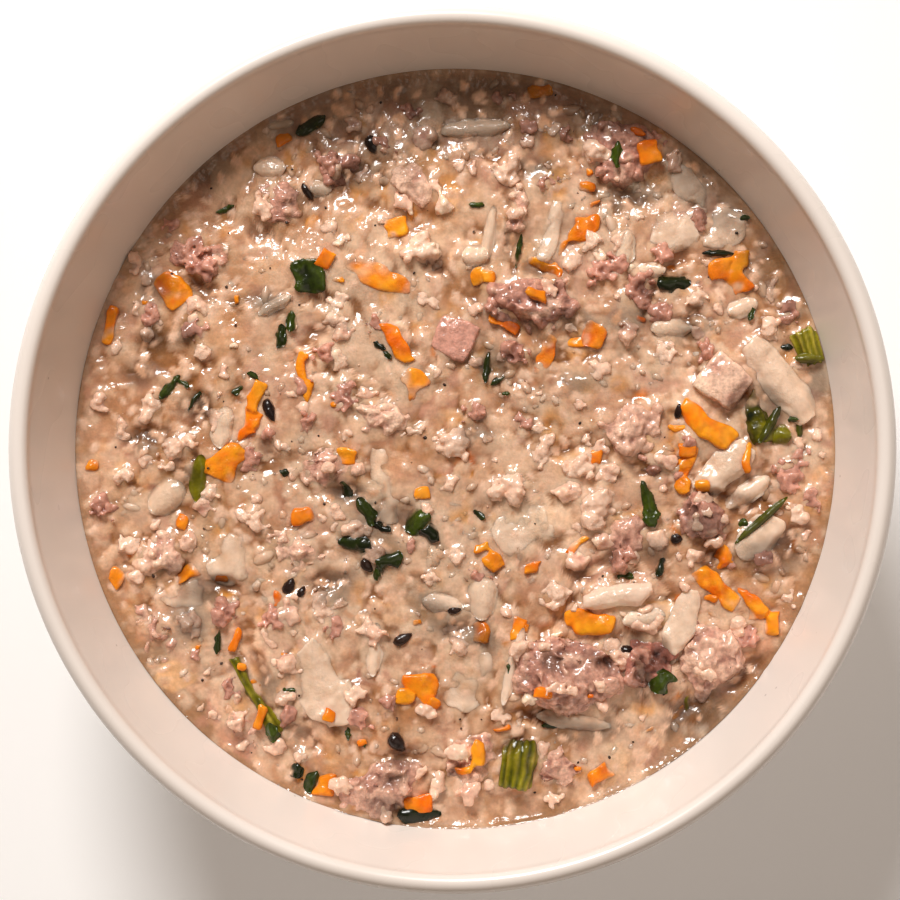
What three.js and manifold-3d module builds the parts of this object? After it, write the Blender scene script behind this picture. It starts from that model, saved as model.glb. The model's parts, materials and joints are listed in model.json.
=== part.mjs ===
// A round stoneware bowl filled with a thick porridge of rice, minced and diced chicken, carrot,
// cabbage, celery and greens. Millimetres, +Z up. The origin is the centre of the foot's underside.
// The bowl stands on its foot ring. The porridge fills it to about 19 mm under the rim, and each
// large bite of food sits part sunk in a pocket of the porridge.

import * as THREE from "three";
import { ConvexGeometry } from "three/addons/geometries/ConvexGeometry.js";
import { mergeVertices } from "three/addons/utils/BufferGeometryUtils.js";
import Module from "manifold-3d";

const wasm = await Module();
wasm.setup();

// ---- Driving dimensions ----------------------------------------------------------------------

const RIM_RADIUS = 80;
const RIM_WIDTH = 3.8;
const BOWL_HEIGHT = 66;
const WALL = 3.8;
const FLOOR_HEIGHT = 6.5;
const FLOOR_RADIUS = 26;
const FOOT_RADIUS = 38.5;
const FOOT_WIDTH = 3.6;
const FOOT_RECESS = 2.6;
const FOOT_HEIGHT = 4.5;
const LEVEL = 47; // where the broth meets the wall
const MOUND = 1.4; // how much higher the porridge stands in the middle
const GAP = 0.35; // clearance between neighbouring solids
const BOWL_SEGMENTS = 40;
const WALL_STEPS = 7;
const PORRIDGE_SEGMENTS = 40;
const PORRIDGE_RINGS = 5;

const COLOURS = {
  glaze: 0xeee0d4,
  porridge: 0xcfa88c,
  chicken: 0xc9a08c,
  carrot: 0xf08c14,
  cabbage: 0xe0cdb4,
  celery: 0x6f8a1e,
  greens: 0x24421c,
};

// ---- The large bites -------------------------------------------------------------------------
// Each row: x, y, length, width, thickness, proud (how far its top stands above the porridge),
// turn in degrees about +Z, then the form where a kind has more than one.

const CHICKEN = [
  [-47, 35, 11, 7.5, 5, 2.0, -25, "mince"],
  [-32.5, 46, 9.5, 7.5, 5, 1.8, 80, "mince"],
  [-20.5, 52, 8.5, 6.5, 5, 1.8, -20, "mince"],
  [-7.7, 48.7, 8.5, 7.5, 5.5, 2.4, -60, "mince"],
  [11.7, 43.4, 10, 4.8, 4.5, 2.0, 72, "mince"],
  [15, 27, 17, 10, 7, 3.2, -12, "mince"],
  [30.5, 54.8, 16, 13, 7, 3.2, -30, "mince"],
  [49.6, 12.4, 9.2, 8.6, 7, 3.4, -38, "cube"],
  [0.2, 20.4, 8, 7.6, 5.5, 1.8, -25, "cube"],
  [33, 3.6, 10, 8, 5.5, 1.8, 20, "mince"],
  [-12.5, 5.7, 9.5, 6.5, 5, 2.2, 25, "mince"],
  [-23.6, -3.7, 12.5, 7.6, 6, 2.4, -8, "mince"],
  [-29.5, -19, 12, 7, 5.5, 2.0, -28, "mince"],
  [-53.7, -19.5, 9, 7.6, 5.5, 2.4, 20, "mince"],
  [-54.5, -34, 10, 8, 5.5, 1.8, -60, "mince"],
  [46, -13, 11, 8.6, 7, 3.2, -48, "mince"],
  [32.3, -15.5, 13, 9, 6, 2.0, 55, "mince"],
  [21.5, -41.7, 20, 15, 9, 4.6, -14, "mince"],
  [35, -40, 12, 9, 7, 3.2, -80, "mince"],
  [47, -38, 13.5, 11, 8, 4.2, -50, "mince"],
  [-39.8, -49.6, 16, 6.6, 5, 1.6, -58, "mince"],
  [-14, -62.3, 16, 9, 6, 2.6, 10, "mince"],
  [4, -57, 11, 8.6, 5.5, 2.2, 10, "mince"],
  [19, -57.6, 12, 6.6, 5.5, 2.4, -85, "mince"],
];

const CARROT = [
  [-51.8, 29.6, 6.4, 5.2, 4.6, 2.2, -48, "dice"],
  [-14, 32.2, 14, 4.0, 3.2, 1.6, -26, "strip"],
  [46, 4.7, 11, 4.2, 3.2, 3.0, -38, "strip"],
  [43, -2.6, 9.4, 3.2, 3.0, 1.8, -96, "strip"],
  [-42, -2.4, 7, 6.2, 4.6, 2.4, 50, "dice"],
  [25.4, 21, 6.4, 4.4, 2.8, 1.4, 62, "slice"],
  [16.8, 17.8, 9, 3.0, 2.6, 1.2, 65, "strip"],
  [-7, 12.4, 6.4, 5.4, 3.4, 1.6, 20, "wedge"],
  [25.2, -31.5, 9.4, 3.8, 3.4, 3.6, -4, "strip"],
  [48.6, -25.4, 9.4, 4.0, 3.4, 2.4, -40, "strip"],
  [-5.8, -44.6, 8, 6.4, 4.4, 2.0, -62, "wedge"],
];

const CABBAGE = [
  [60, 12.6, 19, 7, 3.2, 3.4, -53, "rib"],
  [49.4, -3.7, 14, 6.4, 3.0, 3.0, 40, "leaf"],
  [30, -27, 13.6, 4.2, 2.6, 3.8, 12, "rib"],
  [42.2, -31.4, 12, 5.6, 2.8, 3.8, 72, "leaf"],
  [40.7, 39.8, 9.6, 8.8, 3.4, 2.2, 10, "leaf"],
  [43, 48.2, 11, 5, 2.6, 2.0, -58, "leaf"],
  [50, 40.4, 9.6, 7.4, 2.8, 2.0, 35, "leaf"],
  [17.8, 40, 11.6, 5.6, 3.6, 1.8, 75, "rib"],
  [13, -15.2, 11, 9.6, 3.2, 1.4, 25, "leaf"],
  [-41, -20.4, 10, 8.4, 3.0, 1.4, 70, "leaf"],
  [-24, -43.6, 17, 10, 3.6, 2.4, -65, "leaf"],
  [-50, -27.2, 9.4, 7.4, 3.2, 1.2, 30, "leaf"],
  [56, -16.2, 11, 6.6, 2.6, 2.8, 45, "leaf"],
  [2.3, -42.6, 12, 9, 2.8, 1.4, 65, "leaf"],
  [-12.8, -7, 15, 6.4, 2.8, 1.2, -78, "leaf"],
];

const CELERY = [
  [65.2, 19, 7, 5.2, 2.6, 2.2, -65],
  [55.7, 6, 10.4, 5.8, 3.0, 1.8, -72],
  [12, -58, 9.4, 6.8, 3.2, 3.0, 82],
  [-36.5, -46, 17.5, 3.0, 2.0, 1.8, -62],
];

const GREENS = [
  [-26.7, 31.3, 7.2, 6.4, 1.2, 2.0, 35],
  [36, -10.2, 8.6, 4, 1.2, 2.2, -76],
];

// ---- Small tools -----------------------------------------------------------------------------

// A repeatable source of numbers from 0 to 1.
function randomFrom(seed) {
  let state = (seed * 2654435761) >>> 0;
  return () => {
    state = (state + 0x6d2b79f5) >>> 0;
    let mixed = Math.imul(state ^ (state >>> 15), state | 1);
    mixed ^= mixed + Math.imul(mixed ^ (mixed >>> 7), mixed | 61);
    return ((mixed ^ (mixed >>> 14)) >>> 0) / 4294967296;
  };
}

// The geometry with only positions, its shared vertices merged.
function welded(geometry) {
  const plain = geometry.clone();
  plain.deleteAttribute("normal");
  plain.deleteAttribute("uv");
  return mergeVertices(plain, 1e-3);
}

function solidOf(geometry) {
  const closed = welded(geometry);
  const triVerts = new Uint32Array(closed.index.array);
  const vertProperties = new Float32Array(closed.attributes.position.array);
  return new wasm.Manifold(new wasm.Mesh({ numProp: 3, vertProperties, triVerts }));
}

function geometryOf(solid) {
  const mesh = solid.getMesh();
  const positions = new Float32Array(mesh.numVert * 3);
  for (let i = 0; i < mesh.numVert; i++) {
    const start = i * mesh.numProp;
    positions.set(mesh.vertProperties.subarray(start, start + 3), i * 3);
  }
  return new THREE.BufferGeometry()
    .setAttribute("position", new THREE.BufferAttribute(positions, 3))
    .setIndex(new THREE.BufferAttribute(mesh.triVerts, 1));
}

// The largest body that a cut left.
function largestBody(solid) {
  const bodies = solid.decompose();
  return bodies.reduce((best, body) => (body.volume() > best.volume() ? body : best));
}

// Moves every vertex by a function of its place.
function deform(geometry, move) {
  const position = geometry.attributes.position;
  const point = new THREE.Vector3();
  for (let i = 0; i < position.count; i++) {
    point.fromBufferAttribute(position, i);
    move(point);
    position.setXYZ(i, point.x, point.y, point.z);
  }
  return geometry;
}

// Scales a geometry so that its box is exactly length x width x thickness, centred on the origin.
function fitted(geometry, length, width, thickness) {
  geometry.computeBoundingBox();
  const size = geometry.boundingBox.getSize(new THREE.Vector3());
  geometry.center();
  return geometry.scale(length / size.x, width / size.y, thickness / size.z);
}

// How far the geometry reaches in a direction.
function reachAlong(geometry, direction) {
  const position = geometry.attributes.position;
  const point = new THREE.Vector3();
  let reach = -Infinity;
  for (let i = 0; i < position.count; i++) {
    reach = Math.max(reach, point.fromBufferAttribute(position, i).dot(direction));
  }
  return reach;
}

// A box round a centred geometry, with the gap to spare on every side and its upright edges cut
// off as close to the geometry as the gap allows.
function pocketOf(geometry) {
  geometry.computeBoundingBox();
  const size = geometry.boundingBox.getSize(new THREE.Vector3());
  const spare = size.clone().addScalar(2 * GAP);
  let pocket = solidOf(new THREE.BoxGeometry(spare.x, spare.y, spare.z));
  for (const x of [-1, 1]) {
    for (const y of [-1, 1]) {
      const out = new THREE.Vector3(x / size.x, y / size.y, 0).normalize();
      const reach = reachAlong(geometry, out) + GAP;
      pocket = pocket.trimByPlane(out.negate().toArray(), -reach);
    }
  }
  return geometryOf(pocket);
}

// ---- The bowl --------------------------------------------------------------------------------

const innerWall = new THREE.CubicBezierCurve(
  new THREE.Vector2(RIM_RADIUS - RIM_WIDTH, BOWL_HEIGHT - 2.2),
  new THREE.Vector2(69, 44.5),
  new THREE.Vector2(58, FLOOR_HEIGHT),
  new THREE.Vector2(FLOOR_RADIUS, FLOOR_HEIGHT),
);

const outerWall = new THREE.CubicBezierCurve(
  new THREE.Vector2(RIM_RADIUS - 0.1, BOWL_HEIGHT - 3),
  new THREE.Vector2(71 + WALL, 38),
  new THREE.Vector2(62 + WALL, FOOT_HEIGHT + 2),
  new THREE.Vector2(FOOT_RADIUS + 2, FOOT_HEIGHT),
);

const innerProfile = innerWall.getPoints(WALL_STEPS);

// The inner wall's profile, moved inwards by the gap.
const clearProfile = innerProfile.map((point, i) => {
  const along = innerWall.getTangent(i / WALL_STEPS);
  return new THREE.Vector2(point.x + along.y * GAP, point.y - along.x * GAP);
});

// The rounded lip, from the inner wall's top over to the outer wall's top.
function lip() {
  const curve = new THREE.CubicBezierCurve(
    innerProfile[0],
    new THREE.Vector2(RIM_RADIUS - RIM_WIDTH + 0.6, BOWL_HEIGHT + 1.1),
    new THREE.Vector2(RIM_RADIUS + 0.1, BOWL_HEIGHT + 0.4),
    outerWall.v0,
  );
  return curve.getPoints(4).slice(1, -1);
}

function bowlGeometry() {
  const foot = [
    [FOOT_RADIUS, FOOT_HEIGHT - 1],
    [FOOT_RADIUS - 0.3, 0.5],
    [FOOT_RADIUS - 0.8, 0],
    [FOOT_RADIUS - FOOT_WIDTH, 0],
    [FOOT_RADIUS - FOOT_WIDTH - 0.8, FOOT_RECESS],
    [0, FOOT_RECESS],
  ].map(([r, z]) => new THREE.Vector2(r, z));
  const profile = [
    new THREE.Vector2(0, FLOOR_HEIGHT),
    ...innerProfile.toReversed(),
    ...lip(),
    ...outerWall.getPoints(5),
    ...foot,
  ].reverse();
  return new THREE.LatheGeometry(profile, BOWL_SEGMENTS).rotateX(Math.PI / 2);
}

// ---- The porridge ----------------------------------------------------------------------------

// The height of the porridge's surface, which is lower by the wall, where thin broth collects.
function surfaceHeight(x, y) {
  const r = Math.hypot(x, y);
  const heap = 1 - THREE.MathUtils.smoothstep(r, 44, 67);
  const waves =
    0.35 * Math.sin(0.21 * x + 0.6) * Math.cos(0.17 * y - 0.4) +
    0.25 * Math.sin(0.37 * y + 0.11 * x + 2.1);
  return LEVEL + (MOUND + waves) * heap;
}

// The clear profile's radius at a height.
function clearRadius(z) {
  const below = clearProfile.findIndex((point) => point.y <= z);
  const [high, low] = [clearProfile[below - 1], clearProfile[below]];
  return THREE.MathUtils.mapLinear(z, low.y, high.y, low.x, high.x);
}

// The porridge as rings from the middle of its surface out to the wall, and down along the wall.
function porridgeGeometry() {
  const edge = clearRadius(LEVEL);
  const rings = [];
  for (let ring = 1; ring <= PORRIDGE_RINGS; ring++) {
    rings.push({ radius: (edge * ring) / PORRIDGE_RINGS, height: surfaceHeight });
  }
  for (const point of clearProfile.filter(({ y }) => y < LEVEL - 1)) {
    rings.push({ radius: point.x, height: () => point.y });
  }
  const points = [0, 0, surfaceHeight(0, 0)];
  for (const { radius, height } of rings) {
    for (let i = 0; i < PORRIDGE_SEGMENTS; i++) {
      const angle = (2 * Math.PI * i) / PORRIDGE_SEGMENTS;
      const x = radius * Math.cos(angle);
      const y = radius * Math.sin(angle);
      points.push(x, y, height(x, y));
    }
  }
  const underside = points.length / 3;
  points.push(0, 0, clearProfile.at(-1).y);

  const faces = [];
  const at = (ring, i) => 1 + ring * PORRIDGE_SEGMENTS + (i % PORRIDGE_SEGMENTS);
  for (let i = 0; i < PORRIDGE_SEGMENTS; i++) {
    faces.push(0, at(0, i), at(0, i + 1));
    for (let ring = 0; ring < rings.length - 1; ring++) {
      faces.push(at(ring, i), at(ring + 1, i), at(ring + 1, i + 1));
      faces.push(at(ring, i), at(ring + 1, i + 1), at(ring, i + 1));
    }
    faces.push(underside, at(rings.length - 1, i + 1), at(rings.length - 1, i));
  }
  return new THREE.BufferGeometry()
    .setAttribute("position", new THREE.Float32BufferAttribute(points, 3))
    .setIndex(faces);
}

// ---- The forms of the bites ------------------------------------------------------------------

// A clump of minced meat: a ball whose surface swells where its lumps are.
function mince(length, width, thickness, random) {
  const ball = new THREE.IcosahedronGeometry(1, length * width > 140 ? 2 : 1);
  const lumps = [];
  for (let i = 0; i < 9; i++) {
    const up = 1 - (2 * (i + 0.5)) / 9;
    const angle = i * 2.39996 + random();
    const lump = new THREE.Vector3().setFromCylindricalCoords(Math.sqrt(1 - up * up), angle, up);
    lumps.push({ lump, swell: 0.2 + 0.25 * random() });
  }
  deform(ball, (p) => {
    let radius = 0.75;
    for (const { lump, swell } of lumps) {
      radius += swell * Math.max(0, p.dot(lump)) ** 6;
    }
    p.multiplyScalar(radius);
  });
  return fitted(ball, length, width, thickness);
}

// A cut block with soft edges, each corner a little out of place.
function block(length, width, thickness, random, softness) {
  const box = new THREE.BoxGeometry(2, 2, 2, 3, 3, 2);
  const lean = [random() - 0.5, random() - 0.5, random() - 0.5];
  deform(box, (p) => {
    const round = new THREE.Vector3(
      p.x * Math.sqrt(1 - (softness * (p.y * p.y + p.z * p.z)) / 4),
      p.y * Math.sqrt(1 - (softness * (p.x * p.x + p.z * p.z)) / 4),
      p.z * Math.sqrt(1 - (softness * (p.x * p.x + p.y * p.y)) / 4),
    );
    p.set(
      round.x * (1 + 0.18 * lean[0] * round.y),
      round.y * (1 + 0.22 * lean[1] * round.x),
      round.z * (1 + 0.2 * lean[2] * round.x),
    );
  });
  return fitted(box, length, width, thickness);
}

// A three-cornered chunk with soft corners.
function wedge(length, width, thickness, random) {
  const outline = new THREE.Shape();
  const steps = 15;
  for (let i = 0; i < steps; i++) {
    const angle = (2 * Math.PI * i) / steps;
    const radius = 1 + 0.3 * Math.cos(3 * angle + 0.4) + 0.08 * random();
    const x = radius * Math.cos(angle);
    const y = radius * Math.sin(angle);
    if (i) outline.lineTo(x, y);
    else outline.moveTo(x, y);
  }
  outline.closePath();
  const options = { depth: 0.7, bevelThickness: 0.18, bevelSize: 0.16, bevelSegments: 1 };
  return fitted(new THREE.ExtrudeGeometry(outline, options), length, width, thickness);
}

// An oval slice.
function slice(length, width, thickness) {
  const disc = new THREE.CylinderGeometry(1, 1, 1, 14, 3).rotateX(Math.PI / 2);
  deform(disc, (p) => {
    const inwards = 1 - 0.5 * p.z * p.z;
    p.x *= inwards;
    p.y *= inwards;
  });
  return fitted(disc, length, width, thickness);
}

// A bar that curves sideways and tapers towards its ends.
function strip(length, width, thickness, random) {
  const bar = new THREE.BoxGeometry(2, 2, 2, 5, 2, 2);
  const curve = 0.5 * (random() - 0.5);
  deform(bar, (p) => {
    const taper = 1 - 0.25 * p.x * p.x;
    const corner = Math.sqrt(1 - (0.5 * (p.y * p.y + p.z * p.z)) / 2.2);
    p.y = p.y * taper * corner + curve * p.x * p.x;
    p.z *= taper * corner;
  });
  return fitted(bar, length, width, thickness);
}

// A piece of leaf or stalk: a plate with a rounded outline that is bent, waved or ribbed.
function plate(length, width, thickness, random, { bend, wave, ribs, point }) {
  const sheet = new THREE.BoxGeometry(2, 2, 2, ribs ? 4 : 5, ribs ? 7 : 4, 1);
  const phase = 6 * random();
  const hollow = thickness * 0.45;
  deform(sheet, (p) => {
    const u = p.x;
    const v = p.y;
    const side = p.z;
    const outline = 1 - point * u * u * u * u;
    const edge = 1 - 0.35 * Math.abs(v) ** 3 - 0.2 * Math.abs(u) ** 3;
    const arch = bend * (0.4 - v * v) + wave * Math.sin(3 * u + phase) * Math.abs(v);
    const rib = ribs && side > 0 ? 0.09 * thickness * Math.cos(ribs * Math.PI * v) : 0;
    p.x = u * (length / 2) * (1 - 0.12 * v * v + 0.05 * Math.sin(4 * v + phase));
    p.y = v * (width / 2) * outline;
    p.z = side * (thickness / 2 - hollow * 0.4) * edge + arch * thickness * 0.5 + rib;
  });
  return fitted(sheet, length, width, thickness);
}

const FORMS = {
  mince,
  cube: (l, w, t, random) => block(l, w, t, random, 0.5),
  dice: (l, w, t, random) => block(l, w, t, random, 0.6),
  wedge,
  slice,
  strip,
  rib: (l, w, t, random) => plate(l, w, t, random, { bend: 0.8, wave: 0, ribs: 0, point: 0.3 }),
  leaf: (l, w, t, random) => plate(l, w, t, random, { bend: 0.7, wave: 0.5, ribs: 0, point: 0.4 }),
  stalk: (l, w, t, random) => plate(l, w, t, random, { bend: 1.1, wave: 0, ribs: 4, point: 0.1 }),
  green: (l, w, t, random) => plate(l, w, t, random, { bend: 0.6, wave: 0.9, ribs: 0, point: 0.6 }),
};

// ---- Setting the bites in the porridge -------------------------------------------------------

function biteOf(kind, row, number, usualForm) {
  const [x, y, length, width, thickness, proud, turn, form = usualForm] = row;
  const random = randomFrom(number * 31 + kind.length);
  const geometry = FORMS[form](length, width, thickness, random);
  const placement = new THREE.Object3D();
  placement.position.set(x, y, surfaceHeight(x, y) + proud - thickness / 2);
  placement.rotation.z = THREE.MathUtils.degToRad(turn);
  placement.rotation.x = 0.16 * (random() - 0.5);
  placement.updateMatrix();
  const pocket = pocketOf(geometry).applyMatrix4(placement.matrix);
  const placed = geometry.clone().applyMatrix4(placement.matrix);
  placed.computeBoundingBox();
  return {
    name: `${kind}_${String(number).padStart(2, "0")}`,
    kind,
    placement,
    top: placed.boundingBox.max.z,
    solid: solidOf(placed),
    pocket: solidOf(pocket),
  };
}

const bites = [
  ...CHICKEN.map((row, i) => biteOf("chicken", row, i + 1, "mince")),
  ...CARROT.map((row, i) => biteOf("carrot", row, i + 1, "strip")),
  ...CABBAGE.map((row, i) => biteOf("cabbage", row, i + 1, "leaf")),
  ...CELERY.map((row, i) => biteOf("celery", row, i + 1, "stalk")),
  ...GREENS.map((row, i) => biteOf("greens", row, i + 1, "green")),
];

// Where two bites meet, the one whose top is lower gives way.
bites.sort((a, b) => b.top - a.top);
bites.forEach((upper, i) => {
  for (const lower of bites.slice(i + 1)) {
    if (lower.solid.intersect(upper.pocket).volume() > 0)
      lower.solid = largestBody(lower.solid.subtract(upper.pocket));
  }
});

// The space inside the bowl: where a bite reaches the wall, it is trimmed to this.
function spaceInside() {
  const profile = [
    new THREE.Vector2(0, clearProfile.at(-1).y),
    ...clearProfile.toReversed(),
    new THREE.Vector2(0, clearProfile[0].y),
  ];
  return solidOf(new THREE.LatheGeometry(profile, BOWL_SEGMENTS).rotateX(Math.PI / 2));
}

const inside = spaceInside();
let porridge = solidOf(porridgeGeometry());
for (const bite of bites) {
  porridge = porridge.subtract(bite.pocket);
  bite.solid = largestBody(bite.solid.intersect(inside));
}

// ---- The scene graph -------------------------------------------------------------------------

function meshOf(name, geometry, kind, roughness) {
  const material = new THREE.MeshStandardMaterial({
    color: COLOURS[kind],
    roughness,
    metalness: 0,
  });
  const mesh = new THREE.Mesh(geometry, material);
  mesh.name = name;
  return mesh;
}

const dish = new THREE.Group();
dish.add(meshOf("bowl", bowlGeometry(), "glaze", 0.3));
const food = new THREE.Group();
food.add(meshOf("rice_porridge", geometryOf(largestBody(porridge)), "porridge", 0.35));
for (const bite of bites) {
  const local = geometryOf(bite.solid).applyMatrix4(bite.placement.matrix.clone().invert());
  const mesh = meshOf(bite.name, local, bite.kind, 0.45);
  mesh.position.copy(bite.placement.position);
  mesh.rotation.copy(bite.placement.rotation);
  food.add(mesh);
}
dish.add(food);

export default dish;
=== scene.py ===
"""A bowl of chicken and rice porridge, seen from above.

The bowl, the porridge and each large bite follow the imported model. On them lie loose grains of
rice, crumbs of chicken, and bits of carrot, onion, celery, herbs and seeds.
Lengths in this file are in millimetres until a mesh is made.
"""

import json
import math

import bmesh
import bpy
import numpy as np
from mathutils import Matrix, Vector

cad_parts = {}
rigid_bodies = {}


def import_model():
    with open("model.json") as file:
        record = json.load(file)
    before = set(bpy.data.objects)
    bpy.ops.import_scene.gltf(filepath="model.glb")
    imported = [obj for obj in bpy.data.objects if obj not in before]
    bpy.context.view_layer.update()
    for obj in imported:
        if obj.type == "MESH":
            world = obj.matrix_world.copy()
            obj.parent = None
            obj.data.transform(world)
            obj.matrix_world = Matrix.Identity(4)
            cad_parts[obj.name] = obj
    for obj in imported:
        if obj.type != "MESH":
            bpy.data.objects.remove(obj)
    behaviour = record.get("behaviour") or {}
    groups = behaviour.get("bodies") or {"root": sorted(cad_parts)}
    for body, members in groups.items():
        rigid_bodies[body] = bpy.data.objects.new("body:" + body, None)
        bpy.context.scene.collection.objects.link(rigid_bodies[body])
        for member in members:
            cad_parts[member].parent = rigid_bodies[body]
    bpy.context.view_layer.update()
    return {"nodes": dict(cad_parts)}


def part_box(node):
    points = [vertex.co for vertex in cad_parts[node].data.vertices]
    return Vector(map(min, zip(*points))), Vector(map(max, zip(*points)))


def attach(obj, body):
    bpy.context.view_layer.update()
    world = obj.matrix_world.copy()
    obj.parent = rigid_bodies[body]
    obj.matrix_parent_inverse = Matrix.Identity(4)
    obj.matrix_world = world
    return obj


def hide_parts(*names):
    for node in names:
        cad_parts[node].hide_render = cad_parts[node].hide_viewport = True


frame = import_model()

MM = 0.001
FOOD_HIGH = np.array(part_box("rice_porridge")[1]) / MM
BOWL_HIGH = np.array(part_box("bowl")[1]) / MM
FOOD_RADIUS = FOOD_HIGH[0]
RIM_RADIUS = BOWL_HIGH[0]
RIM_HEIGHT = BOWL_HIGH[2]

# The food rises by MOUND to its middle, and its bumps stand BUMPS over that.
MOUND = 1.4
BUMPS = 0.45
LEVEL = FOOD_HIGH[2] - MOUND - BUMPS

# The cell size of a bite's mesh, and of a heap of crumbs or carrot bits.
VOXEL = 0.33
CRUMB_VOXEL = 0.3
SMALL_CRUMB_VOXEL = 0.4
CARROT_VOXEL = 0.36


# ---- Numbers, noise and colours --------------------------------------------------------------

def linear(red, green, blue):
    """An sRGB colour from 0 to 255, as linear numbers."""
    part = np.array([red, green, blue]) / 255
    return np.where(part <= 0.04045, part / 12.92, ((part + 0.055) / 1.055) ** 2.4)


def smooth_step(low, high, value):
    part = np.clip((value - low) / (high - low), 0, 1)
    return part * part * (3 - 2 * part)


def soft_max(a, b, blend):
    """The larger of a and b, with a fillet where they cross."""
    near = np.maximum(blend - np.abs(a - b), 0) / blend
    return np.maximum(a, b) + near * near * blend * 0.25


def lattice(corner, seed):
    """A repeatable number from -1 to 1 for each lattice point."""
    mixed = corner[..., 0] * 374761393 + corner[..., 1] * 668265263
    mixed = (mixed + corner[..., 2] * 1440662683 + seed * 974711) & 0xFFFFFFFF
    mixed = ((mixed ^ (mixed >> 13)) * 1274126177) & 0xFFFFFFFF
    return ((mixed ^ (mixed >> 16)) & 0xFFFF) / 32767.5 - 1


def noise(points, size, seed=0):
    """Smooth noise from -1 to 1 whose lumps are about that size."""
    place = np.asarray(points, dtype=float) / size
    corner = np.floor(place).astype(np.int64)
    part = place - corner
    part = part * part * (3 - 2 * part)
    total = 0
    for step in np.ndindex(2, 2, 2):
        weight = np.prod(np.where(step, part, 1 - part), axis=-1)
        total = total + weight * lattice(corner + step, seed)
    return total


def mix(a, b, part):
    """Between colours a and b, part of the way for each point."""
    return a + (b - a) * np.asarray(part)[..., None]


# ---- Meshes ----------------------------------------------------------------------------------

def joined(shells):
    """Several (vertices, faces) as one."""
    starts = np.cumsum([0] + [len(vertices) for vertices, _ in shells[:-1]])
    vertices = np.concatenate([vertices for vertices, _ in shells])
    faces = []
    for (_, part), start in zip(shells, starts):
        faces += [tuple(int(i + start) for i in face) for face in part]
    return vertices, faces


def grid_faces(index):
    """A face for each cell of a grid of vertex numbers."""
    quads = np.stack([index[:-1, :-1], index[1:, :-1], index[1:, 1:], index[:-1, 1:]], axis=2)
    return quads.reshape(-1, 4)


def grid_rim(index):
    """The numbers round the edge of a grid of vertex numbers."""
    return np.concatenate([index[0, :-1], index[:-1, -1], index[-1, :0:-1], index[:0:-1, 0]])


def arrays_of(form):
    """The vertices and faces of a bmesh, which is then freed."""
    vertices = np.array([vertex.co for vertex in form.verts])
    faces = np.array([[vertex.index for vertex in face.verts] for face in form.faces])
    form.free()
    return vertices, faces


def mesh_of(name, vertices, faces):
    mesh = bpy.data.meshes.new(name)
    mesh.from_pydata((np.asarray(vertices) * MM).tolist(), [], [tuple(face) for face in faces])
    mesh.update()
    return mesh


def positions(mesh):
    """The mesh's vertices in millimetres."""
    flat = np.empty(len(mesh.vertices) * 3)
    mesh.vertices.foreach_get("co", flat)
    return flat.reshape(-1, 3) / MM


def normals(mesh):
    flat = np.empty(len(mesh.vertices) * 3, dtype=np.float32)
    mesh.vertex_normals.foreach_get("vector", flat)
    return flat.reshape(-1, 3)


def place(mesh, vertices):
    mesh.vertices.foreach_set("co", (vertices * MM).ravel())
    mesh.update()


def edges(mesh):
    flat = np.empty(len(mesh.edges) * 2, dtype=np.int32)
    mesh.edges.foreach_get("vertices", flat)
    return flat.reshape(-1, 2)


def neighbour_mean(values, pairs):
    """For each vertex, the mean of its neighbours' values."""
    first, second = pairs.T
    count = len(values)
    shared = np.bincount(first, minlength=count) + np.bincount(second, minlength=count)
    columns = [
        np.bincount(first, column[second], count) + np.bincount(second, column[first], count)
        for column in values.T
    ]
    return np.stack(columns, axis=1) / np.maximum(shared, 1)[:, None]


def soften(mesh, rounds, share=0.5):
    """Moves each vertex a share of the way to its neighbours' mean."""
    pairs = edges(mesh)
    vertices = positions(mesh)
    for _ in range(rounds):
        vertices += share * (neighbour_mean(vertices, pairs) - vertices)
    place(mesh, vertices)


def hollows(mesh, rounds=14):
    """How far each vertex lies below its smoothed surroundings, in millimetres."""
    pairs = edges(mesh)
    vertices = positions(mesh)
    smooth = vertices.copy()
    for _ in range(rounds):
        smooth = neighbour_mean(smooth, pairs)
    return np.sum((smooth - vertices) * normals(mesh), axis=1)


def roughen(mesh, size, depth, seed, stretch=(1, 1, 1)):
    """Moves each vertex along its normal by noise."""
    vertices = positions(mesh)
    moved = depth * noise(vertices / np.array(stretch), size, seed)
    place(mesh, vertices + normals(mesh) * moved[:, None])


def remeshed(name, shells, voxel=VOXEL):
    """The union of closed shells, as an even mesh."""
    rough = mesh_of(name + "_rough", *joined(shells))
    holder = bpy.data.objects.new(name + "_rough", rough)
    bpy.context.scene.collection.objects.link(holder)
    modifier = holder.modifiers.new("Remesh", "REMESH")
    modifier.mode = "VOXEL"
    modifier.voxel_size = voxel * MM
    graph = bpy.context.evaluated_depsgraph_get()
    mesh = bpy.data.meshes.new_from_object(holder.evaluated_get(graph))
    mesh.name = name
    bpy.data.objects.remove(holder)
    bpy.data.meshes.remove(rough)
    return mesh


def tint(mesh, colours):
    """Stores a colour for each vertex."""
    layer = mesh.attributes.new("Tint", "FLOAT_COLOR", "POINT")
    full = np.ones((len(mesh.vertices), 4))
    full[:, :3] = np.clip(colours, 0, 1)
    layer.data.foreach_set("color", full.ravel())


def piece(name, mesh, material, replaced=()):
    """Puts a finished mesh in the scene, on the part's one body."""
    mesh.name = name
    mesh.materials.clear()
    mesh.materials.append(material)
    mesh.polygons.foreach_set("use_smooth", [True] * len(mesh.polygons))
    thing = bpy.data.objects.new(name, mesh)
    bpy.context.scene.collection.objects.link(thing)
    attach(thing, "root")
    if replaced:
        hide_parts(*replaced)
    return thing


# ---- Materials -------------------------------------------------------------------------------

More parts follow.
